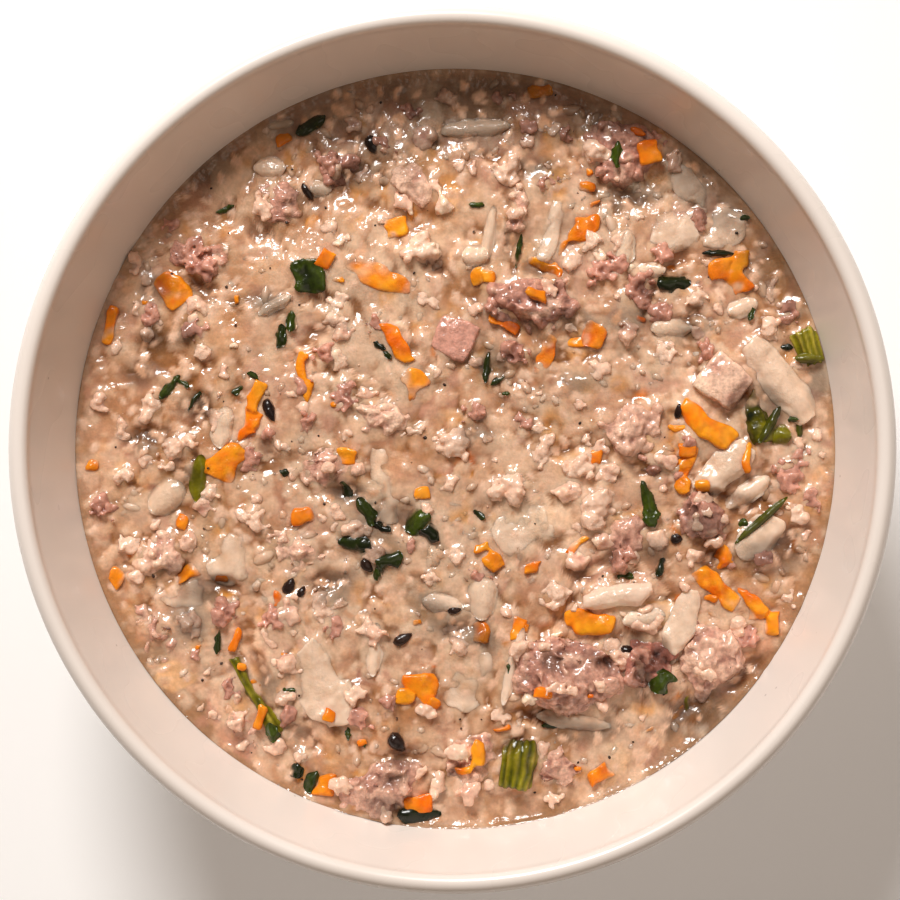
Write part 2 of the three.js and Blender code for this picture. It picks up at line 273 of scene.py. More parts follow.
def add_node(tree, kind, settings=None, **inputs):
    """Adds a shader node. An input is a number, a colour or another node's socket."""
    node = tree.nodes.new(kind)
    for key, value in (settings or {}).items():
        setattr(node, key, value)
    for key, value in inputs.items():
        socket = node.inputs[key.replace("_", " ")]
        if isinstance(value, bpy.types.NodeSocket):
            tree.links.new(value, socket)
        else:
            socket.default_value = value
    return node


def noise_node(tree, size, detail):
    """Noise whose lumps are about size millimetres."""
    where = add_node(tree, "ShaderNodeTexCoord").outputs["Object"]
    scale = 1 / (size * MM)
    node = add_node(tree, "ShaderNodeTexNoise", Vector=where, Scale=scale, Detail=detail, Roughness=0.6)
    return node.outputs["Fac"]


def ramp(tree, value, low, high, start, end):
    """Maps value from low..high to start..end."""
    node = add_node(
        tree, "ShaderNodeMapRange", Value=value, From_Min=low, From_Max=high, To_Min=start, To_Max=end
    )
    return node.outputs["Result"]


# The ripples of the wet film that lies over all the food.
FILM_SIZE = 1.7
FILM_HEIGHT = 0.5


def product(tree, first, second):
    """The product of two sockets."""
    node = add_node(tree, "ShaderNodeMath", {"operation": "MULTIPLY"})
    tree.links.new(first, node.inputs[0])
    tree.links.new(second, node.inputs[1])
    return node.outputs["Value"]


def bump_node(tree, height, distance, strength=1.0):
    """Normals for relief of that height in millimetres."""
    node = add_node(tree, "ShaderNodeBump", Strength=strength, Distance=distance * MM, Height=height)
    return node.outputs["Normal"]


def new_material(name):
    """A material, its node tree and its shader."""
    material = bpy.data.materials.new(name)
    material.use_nodes = True
    return material, material.node_tree, material.node_tree.nodes["Principled BSDF"]


def blend_node(tree, part, first, second):
    """A colour between two. Each is a colour or another node's socket."""
    node = add_node(tree, "ShaderNodeMix", {"data_type": "RGBA"}, Factor=part)
    for socket, colour in zip((node.inputs[6], node.inputs[7]), (first, second)):
        if isinstance(colour, bpy.types.NodeSocket):
            tree.links.new(colour, socket)
        else:
            socket.default_value = (*colour, 1)
    return node.outputs[2]


def set_inputs(shader, values):
    for name, value in values.items():
        shader.inputs[name].default_value = value


def food_material(name, mottle, relief, roughness, subsurface, coat, depth=0.8):
    """Wet food. The colour is the mesh's own Tint, with mottling and fine relief.

    mottle is (size, strength), relief is (size, height), roughness is (low, high), and depth is how
    far light goes in; sizes are in mm.
    """
    material, tree, shader = new_material(name)
    own = add_node(tree, "ShaderNodeAttribute", {"attribute_name": "Tint"}).outputs["Color"]
    spots = ramp(tree, noise_node(tree, mottle[0], 1), 0.3, 0.7, 1 - mottle[1], 1 + mottle[1])
    colour = add_node(tree, "ShaderNodeVectorMath", {"operation": "SCALE"}, Vector=own, Scale=spots)
    tree.links.new(colour.outputs["Vector"], shader.inputs["Base Color"])
    gloss = ramp(tree, noise_node(tree, 2.2, 0), 0.35, 0.65, *roughness)
    tree.links.new(gloss, shader.inputs["Roughness"])
    wet = ramp(tree, noise_node(tree, 4.5, 0), 0.38, 0.55, 0.35, 1)
    grain = product(tree, noise_node(tree, relief[0], 1), wet)
    tree.links.new(bump_node(tree, grain, relief[1]), shader.inputs["Normal"])
    film = product(tree, noise_node(tree, FILM_SIZE, 1), wet)
    tree.links.new(bump_node(tree, film, FILM_HEIGHT), shader.inputs["Coat Normal"])
    shader.subsurface_method = "BURLEY"
    set_inputs(shader, {
        "Subsurface Weight": subsurface,
        "Subsurface Radius": (1.0, 0.6, 0.4),
        "Subsurface Scale": depth * MM,
        "Coat Weight": coat,
        "Coat Roughness": 0.15,
        "Coat IOR": 1.5,
        "IOR": 1.4,
        "Specular IOR Level": 0.25,
    })
    return material


def glaze_material():
    """Ivory glaze with a faint unevenness and a few pinhole specks."""
    material, tree, shader = new_material("glaze")
    clouds = ramp(tree, noise_node(tree, 26, 0), 0.25, 0.75, 0, 1)
    ivory = blend_node(tree, clouds, linear(240, 229, 220), linear(245, 235, 227))
    where = add_node(tree, "ShaderNodeTexCoord").outputs["Object"]
    cells = add_node(tree, "ShaderNodeTexVoronoi", Vector=where, Scale=1 / (9 * MM))
    speck = ramp(tree, cells.outputs["Distance"], 0.018, 0.035, 0.35, 0)
    tree.links.new(blend_node(tree, speck, ivory, linear(120, 95, 80)), shader.inputs["Base Color"])
    gloss = ramp(tree, noise_node(tree, 14, 1), 0.3, 0.7, 0.24, 0.34)
    tree.links.new(gloss, shader.inputs["Roughness"])
    tree.links.new(bump_node(tree, noise_node(tree, 7, 0), 0.05, 0.6), shader.inputs["Normal"])
    set_inputs(shader, {"Coat Weight": 0.25, "Coat Roughness": 0.12, "Subsurface Weight": 0.0})
    return material


GLAZE = glaze_material()
SAUCE = food_material("porridge", (0.8, 0.1), (0.45, 0.1), (0.25, 0.45), 0.7, 1.0, 1.9)
RICE = food_material("rice", (1.6, 0.04), (0.4, 0.08), (0.3, 0.5), 0.7, 0.9, 1.9)
MEAT = food_material("chicken", (0.7, 0.2), (0.4, 0.2), (0.35, 0.55), 0.3, 1.0, 0.6)
CRUMB = food_material("crumbs", (0.8, 0.1), (0.4, 0.18), (0.35, 0.55), 0.6, 1.0, 1.2)
CARROT = food_material("carrot", (1.6, 0.14), (0.45, 0.12), (0.3, 0.5), 0.3, 0.5, 0.8)
CABBAGE = food_material("cabbage", (1.6, 0.07), (0.5, 0.14), (0.25, 0.45), 0.7, 0.7, 2.0)
CELERY = food_material("celery", (1.2, 0.18), (0.6, 0.1), (0.25, 0.45), 0.0, 0.6)
LEAF = food_material("greens", (1.0, 0.3), (0.6, 0.12), (0.2, 0.4), 0.0, 0.6)
SEED = food_material("seeds", (0.5, 0.3), (0.35, 0.1), (0.15, 0.35), 0.0, 0.5)


# ---- The bowl --------------------------------------------------------------------------------

def bezier(points, count):
    """Points along a cubic curve."""
    a, b, c, d = (np.array(point, dtype=float) for point in points)
    t = np.linspace(0, 1, count)[:, None]
    return a * (1 - t) ** 3 + 3 * b * t * (1 - t) ** 2 + 3 * c * t * t * (1 - t) + d * t**3


RIM_WIDTH = 3.8
WALL = 3.8
FLOOR = 6.5
UNDERSIDE = 2.6
SEGMENTS = 224
INNER_WALL = [(RIM_RADIUS - RIM_WIDTH + 0.1, RIM_HEIGHT - 2.2), (69, 44.5), (58, FLOOR), (26, FLOOR)]


def wall_radius(z):
    """The inner wall's radius at a height."""
    wall = bezier(INNER_WALL, 80)
    return np.interp(z, wall[::-1, 1], wall[::-1, 0])


def bowl_profile():
    """From the middle of the floor up the inside, over the rim and down to the foot."""
    inside_top = INNER_WALL[0]
    outside_top = (RIM_RADIUS, RIM_HEIGHT - 2.6)
    over_inside = (inside_top[0] + 0.15, RIM_HEIGHT + 0.35)
    over_outside = (RIM_RADIUS - 0.4, RIM_HEIGHT + 0.55)
    lip = bezier([inside_top, over_inside, over_outside, outside_top], 18)
    outer = bezier([outside_top, (71 + WALL, 38), (62 + WALL, 6.5), (40.5, 4.6)], 44)
    foot = bezier([(40.5, 4.6), (38.6, 4.4), (38.4, 3), (38.2, 0.9)], 8)
    heel = bezier([(38.2, 0.9), (38.1, 0.2), (37.9, 0), (37.2, 0)], 5)
    ring = [(35.6, 0), (35.0, 0.25), (34.6, 0.8), (34.2, 2.2), (33.4, UNDERSIDE), (15, UNDERSIDE)]
    inside = bezier(INNER_WALL, 60)[::-1]
    return np.concatenate([[(8, FLOOR)], inside, lip[1:], outer[1:], foot[1:], heel[1:], ring])


def build_bowl():
    """The profile turned round, with a slight waver in its wall and rim."""
    profile = bowl_profile()
    angle = np.linspace(0, 2 * np.pi, SEGMENTS, endpoint=False)
    radius = profile[:, :1] * np.ones(SEGMENTS)
    waver = np.stack([np.cos(angle) * 40, np.sin(angle) * 40, np.zeros(SEGMENTS)], axis=1)
    radius = radius + 0.12 * noise(waver, 30, 3) * smooth_step(50, 70, radius)
    height = profile[:, 1:] * np.ones(SEGMENTS)
    height = height + 0.1 * noise(waver, 34, 4) * smooth_step(50, 64, height)
    rings = np.stack([radius * np.cos(angle), radius * np.sin(angle), height], axis=2)
    vertices = np.concatenate([rings.reshape(-1, 3), [(0, 0, FLOOR), (0, 0, UNDERSIDE)]])
    last = (len(profile) - 1) * SEGMENTS
    centre = len(profile) * SEGMENTS
    sides = [(i, (i + 1) % SEGMENTS) for i in range(SEGMENTS)]
    faces = []
    for low in range(0, last, SEGMENTS):
        high = low + SEGMENTS
        faces += [(low + j, low + i, high + i, high + j) for i, j in sides]
    for i, j in sides:
        faces.append((centre, i, j))
        faces.append((centre + 1, last + j, last + i))
    mesh = mesh_of("glazed_bowl", vertices, faces)
    piece("glazed_bowl", mesh, GLAZE, ["bowl"])


build_bowl()


# ---- The porridge's surface ------------------------------------------------------------------

CREAM = linear(212, 163, 130)
BROTH = linear(152, 114, 84)
PAINTED_HOLLOW_SHADE = linear(132, 82, 40)
PAINTED_GAP_SHADE = linear(104, 60, 32)
TAN_SAUCE = linear(180, 124, 76)
PALE_LUMP = linear(245, 206, 178)
PINK_LUMP = linear(206, 150, 130)
AMBER_SAUCE = linear(236, 166, 88)
MAUVE_SAUCE = linear(186, 134, 118)
MILKY = linear(232, 202, 178)
GRAIN_PALE = linear(234, 194, 164)
GRAIN_TAN = linear(212, 163, 130)
RICE_WHITE = linear(246, 218, 196)
PINKISH = linear(204, 152, 130)
MEAT_MAUVE = linear(166, 114, 100)
MEAT_PINK = linear(212, 156, 136)
MEAT_CREAM = linear(246, 206, 180)
# Painted shade for the meat's hollows:
MEAT_HOLLOW_SHADE = linear(84, 44, 34)
WHITE_MEAT = linear(248, 217, 194)
# Painted shade for the hollows of the pale crumbs and cabbage, and of the pink crumbs:
CRUMB_SHADE = linear(224, 176, 148)
PINK_SHADE = linear(112, 66, 54)
SEED_BLACK = linear(22, 14, 14)
SEED_BROWN = linear(52, 32, 24)
SPECK_BROWN = linear(58, 40, 30)
CARROT_DEEP = linear(232, 104, 0)
CARROT_LIGHT = linear(252, 164, 30)
ONION = linear(246, 218, 194)
ONION_CLEAR = linear(230, 198, 170)
CELERY_GREEN = linear(122, 116, 6)
CELERY_DARK = linear(66, 70, 2)
CELERY_PALE = linear(190, 172, 70)
LEAF_GREEN = linear(60, 76, 8)
LEAF_DARK = linear(12, 22, 2)

MUSH_TONES = {"milky": MILKY, "cream": PALE_LUMP, "pink": PINK_LUMP, "amber": linear(240, 184, 126)}

# The surface is worked out on a grid from -HALF to HALF, with cells of CELL.
CELL = 0.2
HALF = 71.0
AXIS = np.arange(-HALF, HALF + CELL / 2, CELL)
GRID_X, GRID_Y = np.meshgrid(AXIS, AXIS, indexing="ij")
GRID = np.stack([GRID_X, GRID_Y, np.zeros_like(GRID_X)], axis=-1)
WARP_X = 0.7 * noise(GRID, 2.6, 11) + 0.3 * noise(GRID, 1.1, 12)
WARP_Y = 0.7 * noise(GRID, 2.6, 13) + 0.3 * noise(GRID, 1.1, 14)

# Where the porridge is thin and broth stands: x, y, length, width, turn in degrees.
BROTH_POOLS = [
    (47, -51, 52, 16, 42),
    (12, -66, 34, 9, 8),
    (-53, -43, 46, 12, -52),
    (64, 36, 26, 10, -62),
    (49, 51, 20, 8, -45),
    (-67, 4, 30, 5, 90),
    # The pool along the top wall is partly real broth and partly painted shade where the rim's shadow
    # falls.
    (2, 66, 62, 13, 0),
    (-44, 52, 44, 6, 40),
]

# Gaps between the pieces, sunk and painted dark as shade: x, y, length, width, turn in degrees.
GAPS = [
    (12, 23, 12, 4, 150), (-20, -8, 9, 3, 0), (-9, -13, 6, 4, 90), (-23, -24, 11, 4, 5),
    (24, -23, 7, 3, 30), (20, 0, 6, 3, 20), (1, -33, 9, 4, 20), (15, -49, 12, 3, 170),
    (11, -54, 8, 3, 30), (-10, -57, 8, 4, 0), (-11, -61, 6, 3, 20), (0, -60, 5, 3, 60),
    (18, -39, 5, 4, 130), (50, -9, 11, 3, 170), (35, -4, 8, 3, 160), (27, -21, 10, 3, 30),
    (61, -17, 7, 3, 35), (53, -11, 6, 3, 20), (47, -20, 5, 3, 10), (44, 25, 6, 3, 25),
    (35, -43, 9, 4, 100), (54, -41, 12, 3, 35), (44, -47, 9, 3, 30), (33, -35, 6, 3, 170),
    (38, -38, 7, 4, 90), (27, -39, 6, 3, 160), (-52, -23, 7, 4, 30), (-55, 3, 8, 4, 5),
    (-42, -25, 8, 3, 170), (-34, 0, 5, 3, 110), (-46, 7, 6, 4, 90), (-36, -40, 8, 3, 110),
    (-27, -54, 7, 3, 150), (-20, 49, 8, 5, 50), (-36, 40, 8, 3, 150), (-46, 30, 9, 3, 150),
    (10, 38, 5, 3, 80), (16, 33, 7, 3, 170), (31, 47, 12, 3, 160), (36, 29, 7, 4, 160),
    (-24, 22, 7, 3, 15), (42, 35, 6, 3, 25), (52, 9, 9, 3, 60), (-3, 33, 7, 3, 150), (41, 6, 4, 2, 130),
]

# Soft lumps of rice and onion just under the surface: x, y, length, width, turn in degrees.
MUSH = {
    "milky": [
        (-11, 14, 7, 6, 0), (-21, -10, 11, 5, 0), (12, -15, 15, 10, 50), (2, -40, 12, 9, 120),
        (5, -28, 9, 7, 100), (-15, -37, 12, 5, 90), (10, -42, 16, 4, 80), (17, 8, 13, 4, 160),
        (7, 1, 8, 4, 5), (67, 13, 8, 5, 80), (66, -2, 7, 4, 90), (37, -47, 5, 4, 90),
        (-55, -11, 13, 8, 20), (-46, -14, 9, 3, 60), (-31, -58, 6, 4, 100), (-41, 50, 9, 6, 50),
        (-34, 48, 9, 6, 100), (-38, 45, 12, 3, 70), (-4, 62, 9, 4, 100), (31, 38, 7, 4, 100),
        (-11, 27, 6, 5, 80), (-38, -7, 8, 5, 20), (-28, 3, 9, 5, 170), (43, 8, 10, 8, 0),
        (-37, 6, 9, 7, 30), (3, 46, 12, 7, 0), (-43, 22, 12, 7, 140), (-17, -58, 10, 6, 20),
        (52, 6, 7, 5, 60), (18, -13, 9, 6, 20), (30, -28, 9, 5, 160),
    ],
    "cream": [
        (-18, 18, 9, 6, 160), (-18, 3, 6, 4, 30), (3, -13, 5, 3, 40), (25, -12, 9, 6, 110),
        (28, 13, 8, 4, 20), (-13, -55, 10, 4, 170), (-17, -58, 5, 3, 80), (-6, -53, 9, 6, 150),
        (-21, -56, 8, 5, 140), (-41, -20, 11, 8, 150), (-30, -18, 10, 6, 170), (-42, 15, 8, 4, 100),
        (-62, 17, 7, 4, 60), (-31, -33, 11, 7, 20), (-36, 37, 9, 6, 30), (-17, 42, 12, 6, 170),
        (-18, 31, 6, 4, 150), (3, 36, 7, 5, 0), (-36, 23, 5, 5, 0), (34, 43, 7, 4, 80),
        (-22, 44, 7, 5, 110), (-46, 19, 6, 4, 170), (-50, 24, 7, 4, 20), (8, 41, 9, 4, 120),
        (22, 12, 9, 5, 30),
    ],
    "pink": [
        (38, 12, 11, 5, 0), (-40, -50, 17, 8, 125), (-17, -50, 9, 6, 60), (-50, 7, 7, 5, 0),
        (-41, 39, 8, 4, 150), (-25, 51, 10, 4, 130), (18, 57, 7, 4, 30), (23, 33, 9, 6, 30),
        (4, 57, 13, 5, 170), (-3, 8, 7, 4, 20), (45, 28, 9, 4, 160), (-48, 38, 7, 4, 40),
        (14, 56, 7, 5, 150), (-9, 36, 8, 5, 20), (17, -22, 8, 5, 40), (-58, -24, 9, 6, 60),
        (-45, 13, 6, 4, 30), (8, 50, 6, 5, 0),
    ],
    "amber": [
        (21, -4, 10, 7, 30), (24, 12, 9, 6, 20), (-34, 33, 9, 6, 10), (-62, -3, 10, 7, 0),
        (18, 50, 8, 5, 0), (-50, -41, 10, 6, 30), (29, -58, 9, 5, 60), (58, -26, 7, 4, 60),
        (-56, -20, 7, 4, 0), (36, -30, 10, 5, 5), (-25, 35, 6, 5, 60), (7, 32, 6, 5, 90),
        (35, 2, 9, 4, 160),
    ],
}

# Places made darker and places made brighter: x, y, length, width, turn in degrees. The dark ones along
# the top wall are painted shadow of the rim; the other dark ones are partly thinner, darker sauce and
# partly painted shade.
DIM_AND_SHADOWED_PLACES = [
    (-12, 55, 22, 10, 0), (-27, 47, 8, 7, 0), (-27, 61, 14, 7, 30), (18, 60, 20, 8, 165),
    (16, 52, 10, 6, 0), (34, 47, 14, 6, 20), (43, 51, 12, 7, 130), (56, 35, 10, 8, 120),
    (-55, 30, 8, 7, 0), (-50, 21, 7, 6, 0), (-58, 14, 8, 6, 0), (-57, 1, 8, 6, 0), (-49, -5, 8, 5, 0),
    (-19, -8, 9, 6, 160), (-14, -17, 12, 8, 130), (-22, -26, 9, 6, 30), (-4, -30, 13, 6, 140),
    (-49, -32, 9, 8, 0), (7, 15, 8, 8, 0), (22, 24, 9, 5, 0), (32, 24, 11, 5, 0), (61, -20, 8, 7, 0),
    (46, -14, 9, 6, 0), (23, -52, 18, 6, 5), (67, 12, 8, 5, 90), (-16, 51, 10, 8, 0), (-55, 20, 9, 6, 0),
    (-48, 8, 8, 6, 0), (57, -19, 12, 6, 10), (22, 12, 9, 5, 0), (-35, 27, 9, 5, 0), (-46, -26, 10, 6, 20),
    (42, -50, 10, 6, 30), (-18, 50, 8, 6, 0), (-15, -12, 10, 6, 0), (-34, -44, 6, 5, 0),
    (37, -19, 8, 5, 0), (5, -35, 10, 5, 160), (44, 22, 8, 5, 20), (4, 3, 8, 5, 0), (0, 62, 40, 8, 0),
    (-44, 52, 14, 6, 40), (0, 66, 60, 7, 0), (-27, 62, 22, 7, 25), (27, 61, 22, 7, -25),
    (46, -49, 12, 6, 40), (-12, -66, 10, 5, 0), (58, 9, 8, 5, 120), (0, 58, 46, 9, 0),
    (22, 61, 20, 8, -20), (46, 47, 24, 9, -45), (59, 33, 20, 8, -62), (20, 64, 30, 6, -15),
    (-20, 58, 20, 8, 20),
]
BRIGHT_PLACES = [
    (-37, 6, 10, 8, 0), (57, -33, 9, 6, 30), (0, 37, 10, 6, 0), (43, 8, 10, 9, 0), (-5, 43, 9, 6, 0),
    (30, 33, 12, 8, 0), (40, 35, 8, 5, 0), (43, 10, 9, 8, 0), (19, -12, 10, 9, 0), (24, -18, 12, 6, 130),
    (-43, 22, 12, 8, 140), (-25, 17, 10, 8, 0), (-9, 23, 9, 7, 0), (0, 45, 12, 9, 0),
    (-38, -32, 11, 7, 0), (-37, -38, 10, 6, 0), (-15, -52, 10, 8, 0), (-6, -64, 7, 6, 0),
    (60, -8, 9, 7, 0), (56, -35, 8, 6, 40), (30, -30, 10, 5, 0), (20, -33, 12, 5, 0), (67, 22, 6, 8, 0),
    (-46, 34, 7, 5, 0), (-18, 35, 14, 6, 150), (-10, 39, 12, 6, 0), (14, -46, 9, 6, 0), (2, -58, 8, 6, 0),
    (13, -62, 7, 6, 0), (-12, -3, 10, 6, 0),
]


def turned(x, y, turn):
    """x and y along axes turned by degrees."""
    angle = math.radians(turn)
    return x * math.cos(angle) + y * math.sin(angle), y * math.cos(angle) - x * math.sin(angle)


def base_level(x, y):
    """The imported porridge's surface."""
    heap = 1 - smooth_step(44, 67, np.hypot(x, y))
    waves = 0.35 * np.sin(0.21 * x + 0.6) * np.cos(0.17 * y - 0.4)
    waves = waves + 0.25 * np.sin(0.37 * y + 0.11 * x + 2.1)
    return LEVEL + (MOUND + waves) * heap


def broth_share(x, y):
    """1 where thin broth stands, 0 where the porridge is thick."""
    share = 0.0
    for pool_x, pool_y, length, width, turn in BROTH_POOLS:
        u, v = turned(x - pool_x, y - pool_y, turn)
        share = np.maximum(share, 1 - smooth_step(0.5, 1.15, np.hypot(2 * u / length, 2 * v / width)))
    return np.maximum(share, smooth_step(FOOD_RADIUS - 5, FOOD_RADIUS, np.hypot(x, y)) * 0.8)


def patches(rows, x, y):
    """1 in the middle of the rows' ellipses, and 0 outside them."""
    depth = np.zeros(np.shape(x))
    for middle_x, middle_y, length, width, turn in rows:
        near = (np.abs(x - middle_x) < length) & (np.abs(y - middle_y) < length)
        u, v = turned(x[near] - middle_x, y[near] - middle_y, turn)
        reach = np.hypot(2 * u / length, 2 * v / width)
        depth[near] = np.maximum(depth[near], 1 - smooth_step(0.35, 1.35, reach))
    return depth


SAUCE_TONE = np.array([0.88, 0.82, 0.73])
PIECE_TONE = np.array([0.95, 0.91, 0.88])
BRIGHTER = 0.27
DIMMER = 0.52
GAP_DEPTH = 0.9
RELIEF_KEPT = 0.56


def toned(colours, tone, x, y):
    """Colours made darker in the dim places, which near the top wall are painted shadow, and brighter in
    the bright places.
    """
    dim = patches(DIM_AND_SHADOWED_PLACES, x, y)
    bright = patches(BRIGHT_PLACES, x, y)
    return colours * tone * (1 + BRIGHTER * bright - DIMMER * dim)[..., None]


def spread(layer, step, rounds):
    """Blurs a raster by averaging with the cells step away."""
    for _ in range(rounds):
        along = np.roll(layer, step, 0) + np.roll(layer, -step, 0)
        layer = (along + np.roll(layer, step, 1) + np.roll(layer, -step, 1)) / 4
    return layer


class Surface:
    """The top of the porridge as a grid of heights and colours."""

    def __init__(self):
        self.height = base_level(GRID_X, GRID_Y) - 0.9
        self.colour = np.ones(GRID.shape) * CREAM

    def window(self, x, y, radius):
        """The cells round a point."""
        low_x = max(int((x - radius + HALF) / CELL), 0)
        low_y = max(int((y - radius + HALF) / CELL), 0)
        size = int(2 * radius / CELL) + 2
        return slice(low_x, low_x + size), slice(low_y, low_y + size)

    def at(self, x, y, layer=None):
        """The height, or another layer, at points."""
        layer = self.height if layer is None else layer
        column = np.clip((np.asarray(x) + HALF) / CELL, 0, len(AXIS) - 1.001)
        row = np.clip((np.asarray(y) + HALF) / CELL, 0, len(AXIS) - 1.001)
        i, j = column.astype(int), row.astype(int)
        u, v = column - i, row - j
        if layer.ndim == 3:
            u, v = u[..., None], v[..., None]
        near = layer[i, j] * (1 - v) + layer[i, j + 1] * v
        far = layer[i + 1, j] * (1 - v) + layer[i + 1, j + 1] * v
        return near * (1 - u) + far * u

    def stamp(self, x, y, length, width, turn, top, rise, colour, blend):
        """Sets an uneven ellipsoid in the surface, its top at that height."""
        window = self.window(x, y, max(length, width) / 2 + 0.8)
        warp = min(1, width / 4)
        u, v = turned(
            GRID_X[window] + warp * WARP_X[window] - x, GRID_Y[window] + warp * WARP_Y[window] - y, turn
        )
        inside = 1 - (2 * u / length) ** 2 - (2 * v / width) ** 2
        cap = np.where(inside > 0, top - rise * (1 - np.sqrt(np.maximum(inside, 0))), -100)
        old = self.height[window]
        over = smooth_step(-blend, blend, cap - old)
        self.height[window] = soft_max(old, cap, blend)
        self.colour[window] = mix(self.colour[window], colour, over)

    def flood(self, level, depth_to_hide):
        """Fills the low places with sauce."""
        depth = level - self.height
        hidden = 1 - np.exp(-np.maximum(depth, 0) / depth_to_hide)
        share = broth_share(GRID_X, GRID_Y)
        sauce = mix(CREAM * 0.97, BROTH, share)
        self.colour = self.colour + (sauce - self.colour) * (hidden * 0.9)[..., None]
        self.height = soft_max(self.height, level, 0.35)

    def shade(self, share):
        """Colours the zones of the sauce, with painted shade in the hollows and gaps and painted light on
        the crests.
        """
        gaps = patches(GAPS, GRID_X + WARP_X, GRID_Y + WARP_Y)
        zones = 1.2 * noise(GRID, 16, 26) + 0.5 * noise(GRID, 7, 27)
        tints = noise(GRID, 6, 31) + 0.5 * noise(GRID, 2.5, 32)
        thick = 1 - 0.8 * share
        for tone, strength, reach in (
            (MILKY, 0.72, smooth_step(-0.1, 0.8, zones)),
            (TAN_SAUCE, 0.68, smooth_step(0.0, 0.9, -zones)),
            (AMBER_SAUCE, 0.7, smooth_step(0.45, 1.1, tints)),
            (MAUVE_SAUCE, 0.3, smooth_step(0.3, 1.0, -tints)),
        ):
            self.colour = mix(self.colour, tone, strength * reach * thick)
        mean = self.height
        # Painted shade: the hollows below the smoothed surface are mixed towards a dark brown. Painted
        # light: the crests are mixed towards PALE_LUMP.
        for step, rounds, depth, strength in ((2, 24, 0.5, 0.45), (4, 30, 0.9, 0.8)):
            mean = spread(mean, step, rounds)
            drop = (mean - self.height) * thick
            self.colour = mix(self.colour, PAINTED_HOLLOW_SHADE, strength * smooth_step(0.02, depth, drop))
            self.colour = mix(self.colour, PALE_LUMP, 0.5 * smooth_step(0.02, depth, -drop))
        specks = noise(GRID, 1.7, 33)
        self.colour = mix(self.colour, RICE_WHITE, 0.4 * smooth_step(0.35, 1.0, specks))
        self.colour = mix(self.colour, TAN_SAUCE, 0.35 * smooth_step(0.35, 1.0, -specks))
        # Painted shade: the gaps are mixed towards a dark brown, and toned() paints the dim and bright
        # places.
        self.colour = toned(mix(self.colour, PAINTED_GAP_SHADE, 0.75 * gaps), SAUCE_TONE, GRID_X, GRID_Y)
        self.height = mean + RELIEF_KEPT * (self.height - mean) - GAP_DEPTH * gaps


def scatter_points(count, random, keep_out_of_broth=0.0, crowd=0):
    """Random points on the food, fewer in the broth. crowd is the size of the patches they keep to."""
    radius = FOOD_RADIUS * np.sqrt(random.random(count)) * 0.995
    angle = 2 * np.pi * random.random(count)
    x, y = radius * np.cos(angle), radius * np.sin(angle)
    keep = random.random(count) > broth_share(x, y) * keep_out_of_broth
    if crowd:
        keep &= noise(np.stack([x, y, 0 * x], axis=1), crowd, 28) > -0.05
    return x[keep], y[keep]


def build_surface():
    random = np.random.default_rng(7)
    surface = Surface()

    def lay(count, lengths, slimness, proud, rises, colours, blend, thin_out, over=base_level):
        """Stamps many lumps. proud is how far they stand out, rises how domed they are."""
        for x, y in zip(*scatter_points(count, random, thin_out)):
            length = random.uniform(*lengths)
            width = length * random.uniform(*slimness)
            sunk = 0.8 * broth_share(x, y) if over is base_level else 0
            top = over(x, y) + random.uniform(*proud) - sunk
            colour = mix(colours[0], colours[1], random.random())
            turn = random.uniform(0, 180)
            surface.stamp(x, y, length, width, turn, top, random.uniform(*rises), colour, blend)

    lay(300, (8, 15), (0.5, 0.95), (-0.6, 0.9), (1.6, 2.6), (CREAM, PINKISH), 0.9, 0.5)
    lay(110, (4, 9), (0.5, 0.9), (-0.5, 0.8), (1.4, 2.2), (MEAT_MAUVE, MEAT_PINK), 0.6, 0.6)
    lay(200, (5, 11), (0.4, 0.8), (-0.3, 0.9), (1.2, 2.0), (MILKY, GRAIN_PALE), 0.6, 0.4)
    lay(150, (2, 6.0), (0.4, 0.9), (-0.4, 0.4), (0.9, 1.4), (CARROT_LIGHT, CARROT_DEEP), 0.5, 0.4)
    lay(620, (3.6, 7), (0.55, 0.9), (-0.4, 1.0), (1.2, 2.0), (PALE_LUMP, PINK_LUMP), 0.35, 0.35)
    lay(330, (4.2, 6.2), (0.4, 0.52), (-0.4, 0.7), (1.0, 1.4), (GRAIN_TAN, GRAIN_PALE), 0.7, 0.4)
    lay(1300, (2.0, 3.8), (0.6, 0.95), (-0.4, 0.9), (0.9, 1.5), (GRAIN_TAN, RICE_WHITE), 0.3, 0.35)
    for tone, rows in MUSH.items():
        for x, y, length, width, turn in rows:
            top = base_level(x, y) + random.uniform(0.4, 1.0)
            colour = mix(MUSH_TONES[tone], PALE_LUMP, random.uniform(0, 0.4))
            rise = random.uniform(1.2, 1.8)
            surface.stamp(x, y, length * 1.15, width * 1.15, turn, top, rise, colour, 0.7)
    wobble = 0.5 * noise(GRID, 10, 21) + 0.4 * noise(GRID, 4.5, 22)
    share = broth_share(GRID_X, GRID_Y)
    surface.flood(base_level(GRID_X, GRID_Y) - 0.75 + 0.7 * share + wobble * (1 - share), 0.5)
    tones = (CREAM, PALE_LUMP)
    lay(2500, (1.3, 2.6), (0.6, 0.95), (-0.05, 0.3), (0.5, 0.8), tones, 0.4, 0.6, surface.at)
    surface.shade(share)
    tones = (GRAIN_TAN * SAUCE_TONE, PALE_LUMP * PIECE_TONE)
    lay(2600, (1.6, 3.4), (0.45, 0.8), (0.0, 0.32), (0.5, 0.9), tones, 0.18, 0.5, surface.at)
    surface.height = spread(surface.height, 1, 1)
    return surface


SURFACE = build_surface()


def disc_points(count):
    """A square grid of points spread evenly over a unit disc."""
    line = np.linspace(-1, 1, count)
    u, v = np.meshgrid(line, line, indexing="ij")
    wide = np.abs(u) > np.abs(v)
    radius = np.where(wide, u, v)
    other = np.where(wide, v, u)
    part = np.divide(other, radius, out=np.zeros_like(other), where=radius != 0) * np.pi / 4
    angle = np.where(wide, part, np.pi / 2 - part)
    return radius * np.cos(angle), radius * np.sin(angle)


